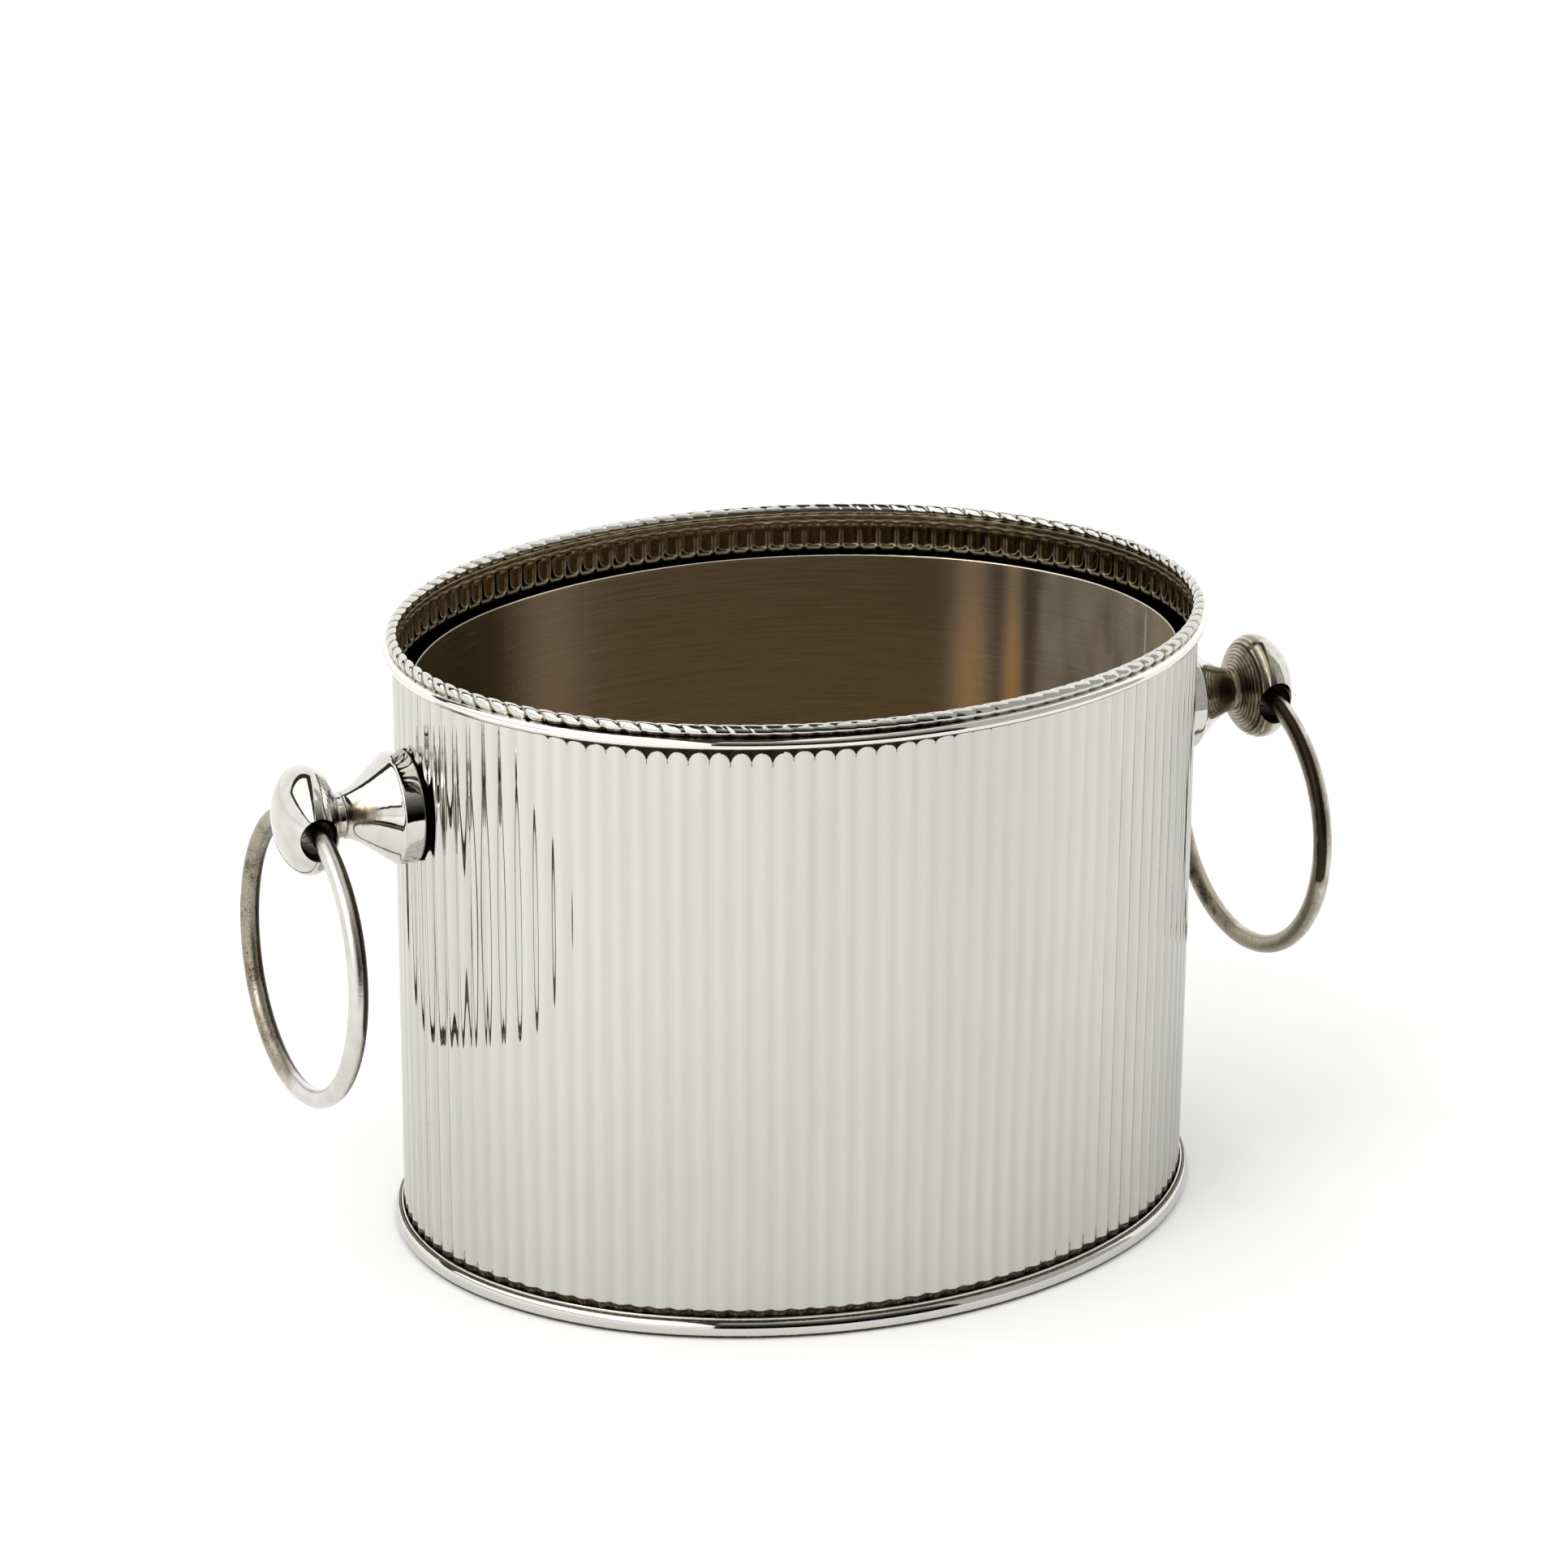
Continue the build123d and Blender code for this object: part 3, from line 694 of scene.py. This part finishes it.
def closed_moulding(name, profile, material, node, grime):
    """A closed profile carried round the oval, with slight handmade unevenness."""
    lengths = even_lengths(MOULDING_COLUMNS)
    wobble = MOULDING_WOBBLE * ripple(lengths[None], profile[:, 1:2], MOULDING_WAVES, 11)
    grow = profile[:, :1] + wobble
    make_piece(
        name, round_oval(grow, profile[:, 1:2], lengths),
        grid_faces(len(profile), len(lengths), ring_rows=True), material, "bucket", node,
        slot="moulding_plate", grime=np.broadcast_to(grime[:, None], grow.shape),
    )


def rim_band():
    """The D-shaped wire under the roll, with painted shade along its lower edge and top."""
    reach = math.degrees(math.acos((BAND_RADIUS - BAND_REACH) / BAND_RADIUS))
    profile = arc(BAND_REACH - BAND_RADIUS, BAND_HEIGHT, BAND_RADIUS - 0.02, -reach, reach, 49)
    # painted shade along the underside, and a little at the top under the roll
    underside = smooth(BAND_HEIGHT - profile[:, 1], 0.9, 1.6)
    top = smooth(profile[:, 1] - BAND_HEIGHT, 1.6, 2.0)
    grime = np.clip(1.3 * underside + 0.2 * top, 0, 1.3)
    closed_moulding("rim_moulding", profile, BAND_LOOK, "rim_band", grime)


def foot_moulding():
    """The foot ring: flange, half-round front, and a lip that holds the wall."""
    lip = FOOT_GAP + SHEET
    shoulder = FOOT_HEIGHT - 0.9
    toe = FOOT_REACH - 1.6
    belly = np.radians(np.linspace(78, -58, 34))
    middle, half_height, bulge = 3.2, 3.45, 2.3
    across, up = bulge * np.cos(belly), half_height * np.sin(belly)
    front = np.stack([FOOT_REACH - bulge + across, middle + up], -1)
    outer, inner = 0.25, 0.2
    profile = np.concatenate([
        [(-FOOT_FLANGE, 0), (toe - 0.3, 0), (toe, 0.15)],
        front[::-1][1:],
        [(lip + 0.12, shoulder - 0.25), (lip, shoulder)],
        arc(lip - outer, FOOT_HEIGHT - outer, outer, 0, 90, 5),
        arc(FOOT_GAP + inner, FOOT_HEIGHT - inner, inner, 90, 180, 4),
        [(FOOT_GAP, 1.0), (-FOOT_FLANGE, 1.0)],
    ])
    grow, height = profile.T
    # painted shade on the lip's hidden inside, in a line under the shoulder, and along the toe
    inside = (grow < FOOT_GAP + 0.35) & (height > 0.5)
    crease_shade = np.exp(-(((height - shoulder + 0.1) / 0.3) ** 2)) * (grow > FOOT_GAP + 0.5)
    toe_line = 1 - smooth(height, 1.2, 2.0)
    grime = np.clip(inside + 1.1 * crease_shade + 1.1 * toe_line, 0, 1.2)
    closed_moulding("foot_moulding", profile, FOOT_LOOK, "base_moulding", grime)


rim_band()
foot_moulding()


# ----------------------------------------------------------------------- liner
# painted glows of amber reflected light in the liner: share of the way round,
# width and strength
PAINTED_GLOWS = ((0.322, 0.017, 0.35), (0.111, 0.009, 0.85), (0.0893, 0.005, 1.0))
# the greyer part of the liner, by the seam: shares of the way round
GREY_FROM, GREY_FULL = 0.083, 0.070
# painted shade at its left end: shares of the way round
DIM_RISE, DIM_FALL = (0.33, 0.365), (0.52, 0.60)
# the soft corner of its floor: share of the way out, and how high
FLOOR_CORNER = (
    (1.0, 1.3), (0.999, 0.95), (0.996, 0.5), (0.992, 0.22), (0.986, 0.08), (0.978, 0.02),
)
FLOOR_DISH = 0.25


def liner_wall():
    """The liner's sheet, with a rounded top edge and its lapped seam."""
    by_seam, coarse = LAP_OFFSET + np.linspace(-3, 3, 61), even_lengths(900)
    lengths = np.unique(np.concatenate([coarse[np.abs(coarse - LAP_OFFSET) > 3], by_seam]))
    share = lengths / OVAL_LENGTH
    outer, inner, half = -LINER_GAP, -LINER_GAP - LINER_SHEET, LINER_SHEET / 2
    near_top = np.linspace(LINER_TOP - half, LINER_TOP - 12, 8)
    outside = np.concatenate([near_top, np.linspace(LINER_TOP - 20, LINER_FOOT, 20)])[::-1]
    inside = np.concatenate([near_top, np.linspace(LINER_TOP - 16, LINER_FOOT, 60)])
    profile = np.concatenate([
        np.stack([np.full(len(outside), outer), outside], -1),
        arc(outer - half, LINER_TOP - half, half, 0, 180, 9)[1:-1],
        np.stack([np.full(len(inside), inner), inside], -1),
    ])
    height = profile[:, 1:2]
    on_inside = smooth(-profile[:, :1], -outer + 0.3, -inner)
    lap = 1 - smooth(np.abs(lengths - LAP_OFFSET), LAP_WIDTH / 2 - 0.2, LAP_WIDTH / 2)
    below_top = 1 - smooth(height, LINER_TOP - 3.2, LINER_TOP - 1.6)
    wave = 0.12 * ripple(lengths[None], height, ((240, 330), (130, 210)), 21)
    grow = profile[:, :1] + wave - LAP_THICKNESS * lap[None] * on_inside * below_top
    # painted glow: amber streaks of reflected light round the wall
    painted_glow = sum(
        strength * np.exp(-(((share - where) / width) ** 2)) for where, width, strength in PAINTED_GLOWS
    )
    fade = smooth(height, 20, 90) * (1 - 0.5 * smooth(height, 165, 205))
    grey = 1 - smooth(from_right_end(lengths), GREY_FULL, GREY_FROM)
    seam = np.exp(-(((np.abs(lengths - LAP_OFFSET) - LAP_WIDTH / 2 + 0.1) / 0.32) ** 2))
    # painted shade at the left end
    dim = 0.8 * smooth(share, *DIM_RISE) * (1 - smooth(share, *DIM_FALL))
    make_piece(
        "liner_sheet", round_oval(grow, height, lengths),
        grid_faces(len(profile), len(lengths), ring_rows=True),
        LINER_LOOK, "liner", "liner_wall", slot="liner_steel",
        glow=painted_glow[None] * (fade * on_inside), worn=grey[None] * on_inside,
        seam=seam[None] * on_inside, dim=dim[None] * on_inside,
        aged=np.broadcast_to(on_inside, grow.shape),
    )


def liner_floor():
    """The liner's bottom, a little dished, with a soft corner at the wall."""
    count = 480
    edge, facing = on_oval(even_lengths(count))
    edge = edge - (LINER_GAP + LINER_SHEET + 0.02) * facing
    inwards = np.linspace(0, 1, 36)
    dish = np.stack([np.linspace(0.96, 0.02, 36), FLOOR_DISH * inwards**2], -1)
    shares, lift = np.concatenate([FLOOR_CORNER, dish]).T
    flat = shares[:, None, None] * edge[None]
    height = np.broadcast_to((LINER_FLOOR + lift)[:, None, None], (*flat.shape[:2], 1))
    top = np.concatenate([flat, height], -1).reshape(-1, 3)
    middle, under = len(top), len(top) + 1
    bottom = np.insert(edge, 2, LINER_FOOT, 1)
    points = np.vstack([top, [[0, 0, LINER_FLOOR + FLOOR_DISH]], bottom, [[0, 0, LINER_FOOT]]])
    faces = grid_faces(len(shares), count) + fan(middle - count, count, middle)
    faces += [[under + i, under + (i + 1) % count, (i + 1) % count, i] for i in range(count)]
    faces += fan(under, count, under + count, reverse=True)
    make_piece(
        "liner_bottom", points, faces, FLOOR_LOOK, "liner", "liner_floor", slot="liner_steel"
    )


liner_wall()
liner_floor()

# --------------------------------------------------------------------- handles
TURNS = 192


def circle(count):
    """Angles all round in even steps."""
    return np.arange(count) * 2 * math.pi / count


def lathe(profile, side):
    """Points and quads of a profile of (along, radius) turned about the knob's axis."""
    angle = circle(TURNS)
    along = np.repeat(profile[:, 0], TURNS) * side
    around, above = profile[:, 1:] * np.cos(angle), profile[:, 1:] * np.sin(angle)
    points = np.stack([along, -side * around.ravel(), KNOB_HEIGHT + above.ravel()], -1)
    return points, grid_faces(len(profile), TURNS)


def bezier(points, count):
    """Points along a cubic curve from its four control points."""
    t = np.linspace(0, 1, count)[:, None]
    a, b, c, d = np.array(points, float)
    return (1 - t) ** 3 * a + 3 * t * (1 - t) ** 2 * b + 3 * t**2 * (1 - t) * c + t**3 * d


BALL_LOW, BALL_HIGH = box("right_knob")
STEM_LOW, STEM_HIGH = box("right_stem")
RING_LOW, RING_HIGH = box("right_ring")
COLLAR_RADIUS = (STEM_HIGH[2] - STEM_LOW[2]) / 2
COLLAR_LENGTH = 7.6
NECK_RADIUS = 8.1
JOINT_X = STEM_HIGH[0]
BALL_RADIUS = (BALL_HIGH[2] - BALL_LOW[2]) / 2
BALL_X = (RING_LOW[0] + RING_HIGH[0]) / 2
BALL_HALF = BALL_HIGH[0] - BALL_X
STUD_BORE = 3.2
HOLE_DROP = 1.8  # of the cross hole, below the middle of the ball
HOLE_RADIUS = 6.1
MOUTH_RADIUS = 9.4  # the flare at each end of the hole
MOUTH_DEPTH = 5.0
# the tool that cuts the hole: where its flares and it end, and its sides
CUTTER_REACH, CUTTER_SIDES = (21, 26), 96
# how grimy the handles are. Stems: all over, and more towards the neck.
STEM_GRIME = {"left": (0.0, 0.12), "right": (0.2, 0.60)}
# Rings: all over, more at the back, and more on the side towards the shell.
RING_GRIME = {"left": (0.05, 0.62, 0.9), "right": (0.36, 0.16, 0.22)}
RING_BACK = {"left": -0.15, "right": 0.0}  # where the back begins, as a cosine


def stem(side, word):
    """A trumpet-shaped stem with a broad collar against the shell."""
    face, front = HALF_LENGTH, HALF_LENGTH + COLLAR_LENGTH
    flare = bezier([
        (front, COLLAR_RADIUS - 0.6), (front + 7.4, 0.7 * COLLAR_RADIUS),
        (JOINT_X - 5.0, NECK_RADIUS + 0.8), (JOINT_X - 0.4, NECK_RADIUS + 0.4),
    ], 60)
    profile = np.concatenate([
        [(face, STUD_BORE), (face, COLLAR_RADIUS - 0.7)],
        arc(face + 0.5, COLLAR_RADIUS - 0.5, 0.5, 180, 90, 6),
        np.stack([np.linspace(face + 1.2, front - 1.3, 6), np.full(6, COLLAR_RADIUS)], -1),
        arc(front - 0.7, COLLAR_RADIUS - 0.7, 0.7, 90, 20, 7),
        flare[1:],
        [(JOINT_X - 0.1, NECK_RADIUS + 0.2), (JOINT_X, NECK_RADIUS - 0.3), (JOINT_X, STUD_BORE)],
    ])
    points, faces = lathe(profile, side)
    along = np.repeat(profile[:, 0], TURNS)
    toward_neck = smooth(along, front + 3, JOINT_X - 2)
    everywhere, by_neck = STEM_GRIME[word]
    # painted shade at the collar's back edge, against the shell
    back_edge_shade = 1.1 * (1 - smooth(along, face + 0.2, face + 0.9))
    level = np.tile(np.sin(circle(TURNS)), len(profile))
    # painted reflection: a dark band along the flare, a little above its middle
    waist_reflection = smooth(along, front + 2, front + 14) * (1 - smooth(np.abs(level - 0.3), 0.0, 0.65))
    grime = np.clip(everywhere + by_neck * toward_neck + 1.05 * waist_reflection + back_edge_shade, 0, 1.2)
    make_piece(
        f"{word}_handle_stem", points, faces, TURNED_LOOK, "bucket", f"{word}_stem",
        slot="handle_plate", sharp=50, grime=grime,
    )


def hole_cutter(side):
    """A spool-shaped tool along Y that makes the flared cross hole."""
    core = BALL_RADIUS - MOUTH_DEPTH
    flare, end = CUTTER_REACH
    half = np.concatenate([np.linspace(core, flare, 16), [end]])
    y = np.concatenate([-half[::-1], np.arange(-12, 13, 2), half])
    opening = np.clip((np.abs(y) - core) / MOUTH_DEPTH, 0, 2)
    radius = HOLE_RADIUS + (MOUTH_RADIUS - HOLE_RADIUS) * opening[:, None]
    angle = circle(CUTTER_SIDES)
    x = BALL_X * side + radius * np.cos(angle)
    z = KNOB_HEIGHT - HOLE_DROP - radius * np.sin(angle)
    points = np.stack([x, np.broadcast_to(y[:, None], x.shape), z], -1).reshape(-1, 3)
    near, far = list(range(CUTTER_SIDES)), len(points) - CUTTER_SIDES
    faces = grid_faces(len(y), CUTTER_SIDES) + [near[::-1], [far + i for i in near]]
    return mesh_object("cutter", points, faces)


def cross_drilled(points, faces, side):
    """Points and faces of a turned blank once the cross hole is cut."""
    blank, tool = mesh_object("blank", points, faces), hole_cutter(side)
    cut = blank.modifiers.new("cross_hole", "BOOLEAN")
    cut.object, cut.operation, cut.solver = tool, "DIFFERENCE", "EXACT"
    graph = bpy.context.evaluated_depsgraph_get()
    done = bpy.data.meshes.new_from_object(blank.evaluated_get(graph))
    bpy.data.objects.remove(blank)
    bpy.data.objects.remove(tool)
    points = np.array([v.co[:] for v in done.vertices]) / MM
    return points, [list(p.vertices) for p in done.polygons]


def knob(side, word):
    """A flattened turned ball on a short shank, drilled across for the ring."""
    start = math.asin(NECK_RADIUS / BALL_RADIUS)
    turn = np.linspace(math.pi - start, 0.004, 110)
    ball = np.stack([BALL_X + BALL_HALF * np.cos(turn), BALL_RADIUS * np.sin(turn)], -1)
    shank = np.linspace(JOINT_X + 0.35, ball[0, 0] - 0.3, 5)
    profile = np.concatenate([
        [(JOINT_X, STUD_BORE), (JOINT_X, NECK_RADIUS - 0.35), (JOINT_X + 0.1, NECK_RADIUS - 0.1)],
        np.stack([shank, np.full(5, NECK_RADIUS)], -1),
        ball[1:],
    ])
    points, faces = lathe(profile, side)
    tip = len(points)
    faces += fan(tip - TURNS, TURNS, tip) + fan(0, TURNS, tip + 1, reverse=True)
    ends = [[side * x, 0, KNOB_HEIGHT] for x in (BALL_X + BALL_HALF, JOINT_X)]
    drilled, faces = cross_drilled(np.vstack([points, ends]), faces, side)
    along = drilled[:, 0] * side
    radial = np.hypot(drilled[:, 1], drilled[:, 2] - KNOB_HEIGHT)
    from_ball = ((along - BALL_X) / BALL_HALF) ** 2 + (radial / BALL_RADIUS) ** 2
    in_hole = (from_ball < 0.985) & (along > JOINT_X + 3)
    # grime behind the right ball, painted shade behind the left one that fades
    # higher up, a dark scribed line, and painted shade in the hole
    above = (drilled[:, 2] - KNOB_HEIGHT) / BALL_RADIUS
    if word == "left":
        behind = 1 - smooth(along, BALL_X - 3.0, BALL_X - 1.6)
        grime = (0.42 - 0.30 * smooth(above, -0.2, 0.7)) * behind
    else:
        behind = 1 - smooth(along, BALL_X - 6.0, BALL_X + 2.0)
        grime = 0.34 + 0.40 * behind
    scribed = np.exp(-(((along - BALL_X + 6.2) / 0.35) ** 2))
    bore = np.hypot(along - BALL_X, drilled[:, 2] - KNOB_HEIGHT + HOLE_DROP)
    hole_shade = 1.3 * (1 - smooth(bore, HOLE_RADIUS + 0.15, HOLE_RADIUS + 0.7))
    grime = np.where(in_hole, hole_shade, np.clip(grime + 0.6 * scribed, 0, 1.1))
    make_piece(
        f"{word}_handle_knob", drilled, faces, TURNED_LOOK, "bucket", f"{word}_knob",
        slot="handle_plate", sharp=38, grime=grime, turned=radial,
    )


def ring(side, word):
    """A closed wire ring that hangs through the knob's cross hole."""
    around, across = 360, 40
    centre = (RING_LOW + RING_HIGH) / 2
    radius = (RING_HIGH[1] - RING_LOW[1]) / 2 - WIRE_RADIUS
    angle, tube = circle(around), circle(across)
    uneven = 1 - 0.012 * (1 + np.sin(5 * angle + 0.7) * np.sin(2 * angle))[:, None]
    reach = radius + WIRE_RADIUS * uneven * np.cos(tube)[None]
    x = WIRE_RADIUS * uneven * np.sin(tube)[None]
    y, z = reach * np.cos(angle)[:, None], reach * np.sin(angle)[:, None] - radius
    swing, yaw = math.radians(RING_SWING[word]), math.radians(RING_YAW)
    x, z = x * math.cos(swing) + z * math.sin(swing), z * math.cos(swing) - x * math.sin(swing)
    x, y = x * math.cos(yaw) - y * math.sin(yaw), x * math.sin(yaw) + y * math.cos(yaw)
    points = np.stack([side * centre[0] + x, y, centre[2] + radius + z], -1).reshape(-1, 3)
    faces = grid_faces(around, across, ring_rows=True)
    back = smooth(np.cos(angle), RING_BACK[word], 0.5)
    inwards = -side * np.sin(tube)
    toward_shell = smooth(inwards, 0.15, 0.6) * (1 - 0.4 * smooth(inwards, 0.93, 1.0))
    inner_side = smooth(inwards, -0.05, 0.3) * (1 - smooth(inwards, 0.8, 0.95))
    upper_front = smooth(np.sin(angle), -0.25, -0.05) * smooth(-np.cos(angle), 0.1, 0.4)
    everywhere, at_back, by_shell = RING_GRIME[word]
    grime = everywhere + at_back * back[:, None] + by_shell * toward_shell[None]
    # painted reflection: a dark line on the side towards the shell, at the upper front
    grime = np.clip(grime + 1.1 * inner_side[None] * upper_front[:, None], 0, 1.3)
    make_piece(
        f"{word}_ring_wire", points, faces, RING_LOOK, f"{word}_ring", f"{word}_ring",
        slot="ring_plate", sharp=None, grime=grime,
    )


for side, word in ((-1, "left"), (1, "right")):
    stem(side, word)
    knob(side, word)
    ring(side, word)

# ------------------------------------------------------- CAD nodes that remain
KEPT = {"base_plate": SHEET_LOOK, "rim_core_wire": WIRE_LOOK}
KEPT |= {f"{place}_pad": RUBBER_LOOK for place in ("left", "right", "front", "back")}
for part in ("stud", "washer", "nut"):
    KEPT |= {f"{word}_{part}": BRASS_LOOK for word in ("left", "right")}
for node, material in KEPT.items():
    slots = frame["nodes"][node].data.materials
    slots.clear()
    slots.append(material)

# ---------------------------------------------------------------------- studio
FLOOR_HALF = 9000
CARD_DISTANCE = 800
AWAY = (0.39, 0.92)  # level, and away from the camera
# the softbox and the dark frame round it lie in one level plane overhead: where
# they start and stop away from the camera and to its right, in plane heights
SOFTBOX_AWAY, SOFTBOX_ACROSS = (-5.0, 0.42), (-2.4, -0.15)
FRAME_AWAY, FRAME_ACROSS = (-6.0, 0.78), (-3.2, 0.15)
PANEL_EDGE = 0.03
FRAME_DARKNESS, SOFTBOX_GAIN = 0.97, 0.35
# the key lamp, with its power in watts
KEY_PLACE, KEY_AIM, KEY_SIZE, KEY_POWER = (-1700, -900, 1300), (-500, -400, 0), 900, 8
# the camera, fitted to the photograph, with angles in degrees
CAMERA_TURN, CAMERA_RISE, CAMERA_ROLL = -22.92, 20.79, 0.316
CAMERA_DISTANCE, CAMERA_ACROSS, CAMERA_UP = 1845.2, -4.36, 149.85
CAMERA_LENS, CAMERA_SENSOR = 113.28, 36.0


def studio_floor():
    """A pale matt floor, much wider than the view."""
    look = Shader("studio_floor")
    grain = look.step(look.noise(60, detail=3), 0.3, 0.7)
    colour = look.mix(grain, (0.95, 0.95, 0.945), (0.93, 0.93, 0.925))
    corners = FLOOR_HALF * np.array([(-1, -1, 0), (1, -1, 0), (1, 1, 0), (-1, 1, 0)])
    floor = mesh_object("studio_floor", corners, [(0, 1, 2, 3)])
    floor.data.materials.append(look.finish(colour, 0.9))


def studio_world():
    """White surroundings, and overhead a large softbox in a dark frame."""
    world = bpy.data.worlds.new("studio")
    scene.world = world
    world.use_nodes = True
    sky = Nodes(world.node_tree)
    direction = sky.node("TexCoord").outputs["Generated"]

    def toward(x, y, z):
        """How far the direction looked at goes towards x, y, z."""
        made = sky.node("VectorMath", operation="DOT_PRODUCT")
        sky.put(made.inputs[0], direction)
        sky.put(made.inputs[1], (x, y, z))
        return made.outputs["Value"]

    def between(value, low, high):
        """1 while value lies between low and high, with soft edges."""
        rise = sky.math("DIVIDE", sky.math("SUBTRACT", value, low), PANEL_EDGE)
        fall = sky.math("DIVIDE", sky.math("SUBTRACT", high, value), PANEL_EDGE)
        return sky.math("MINIMUM", sky.math("MAXIMUM", sky.math("MINIMUM", rise, fall), 0.0), 1.0)

    x, y = AWAY
    above = sky.math("MAXIMUM", toward(0, 0, 1), 0.02)
    far = sky.math("DIVIDE", toward(x, y, 0), above)
    wide = sky.math("DIVIDE", toward(y, -x, 0), above)
    softbox = sky.math("MULTIPLY", between(far, *SOFTBOX_AWAY), between(wide, *SOFTBOX_ACROSS))
    frame = sky.math("MULTIPLY", between(far, *FRAME_AWAY), between(wide, *FRAME_ACROSS))
    frame = sky.math("MAXIMUM", sky.math("SUBTRACT", frame, softbox), 0.0)
    level = sky.math("SUBTRACT", 1.0, sky.math("MULTIPLY", frame, FRAME_DARKNESS))
    level = sky.math("ADD", level, sky.math("MULTIPLY", softbox, SOFTBOX_GAIN))
    background = sky.tree.nodes["Background"]
    sky.put(background.inputs["Strength"], level)
    sky.put(background.inputs["Color"], (1.0, 0.995, 0.985))


def dark_card(name, turns, tall, lowest, highest):
    """A curved card round the bucket, from one turn to another in degrees to the
    right of the camera. It glows a little, more towards its top, and only
    reflections see it."""
    look = Shader(name, Roughness=1.0)
    glow = look.step(look.axis("Z"), 150, tall, lowest, highest)
    mottle = look.step(look.noise(90, detail=2), 0.2, 0.8, 0.9, 1.1)
    look.put(look.surface.inputs["Base Color"], (0.0, 0.0, 0.0))
    look.put(look.surface.inputs["Specular IOR Level"], 0.0)
    look.put(look.surface.inputs["Emission Color"], (1.0, 0.98, 0.93))
    look.put(look.surface.inputs["Emission Strength"], look.math("MULTIPLY", glow, mottle))
    turn = np.radians(CAMERA_TURN + np.linspace(*turns, 25)) - math.pi / 2
    flat = np.stack([np.cos(turn), np.sin(turn)], -1) * CARD_DISTANCE
    points = np.concatenate([np.insert(flat, 2, height, 1) for height in (0, tall)])
    card = mesh_object(name, points, grid_faces(2, len(turn), ring_columns=False))
    card.data.materials.append(look.material)
    card.visible_camera = card.visible_diffuse = card.visible_shadow = False


def key_light():
    """A weak square lamp, high on the left, aimed at the floor beside the bucket."""
    data = bpy.data.lights.new("key", "AREA")
    data.shape, data.size, data.energy = "SQUARE", KEY_SIZE * MM, KEY_POWER
    data.color = (1.0, 0.99, 0.97)
    light = bpy.data.objects.new("key", data)
    scene.collection.objects.link(light)
    light.location = Vector(KEY_PLACE) * MM
    light.rotation_mode = "QUATERNION"
    light.rotation_quaternion = (Vector(KEY_AIM) - Vector(KEY_PLACE)).to_track_quat("-Z", "Y")


def camera():
    """The photograph's viewpoint: a long lens, looking down from the front left."""
    turn, rise, roll = (math.radians(a) for a in (CAMERA_TURN, CAMERA_RISE, CAMERA_ROLL))
    level = math.cos(rise)
    back = np.array([math.sin(turn) * level, -math.cos(turn) * level, math.sin(rise)])
    right = np.cross([0, 0, 1.0], back)
    right /= np.linalg.norm(right)
    up = np.cross(back, right)
    cos, sin = math.cos(roll), math.sin(roll)
    right, up = cos * right + sin * up, cos * up - sin * right
    place = back * CAMERA_DISTANCE + right * CAMERA_ACROSS + up * CAMERA_UP
    data = bpy.data.cameras.new("camera")
    data.sensor_width, data.lens = CAMERA_SENSOR, CAMERA_LENS
    data.clip_start, data.clip_end = 0.05, 50
    view = bpy.data.objects.new("camera", data)
    scene.collection.objects.link(view)
    columns = np.vstack([np.column_stack([right, up, back, place * MM]), [0, 0, 0, 1]])
    view.matrix_world = Matrix(columns.tolist())
    bpy.context.scene.camera = view


studio_floor()
studio_world()
dark_card("black_card", (-6, 49), 1500, 0.0, 0.55)
dark_card("grey_card", (49, 98), 4000, 0.42, 0.55)
key_light()
camera()
scene.cycles.glossy_bounces = 8
scene.view_settings.view_transform = "Standard"
scene.view_settings.exposure = 0.40
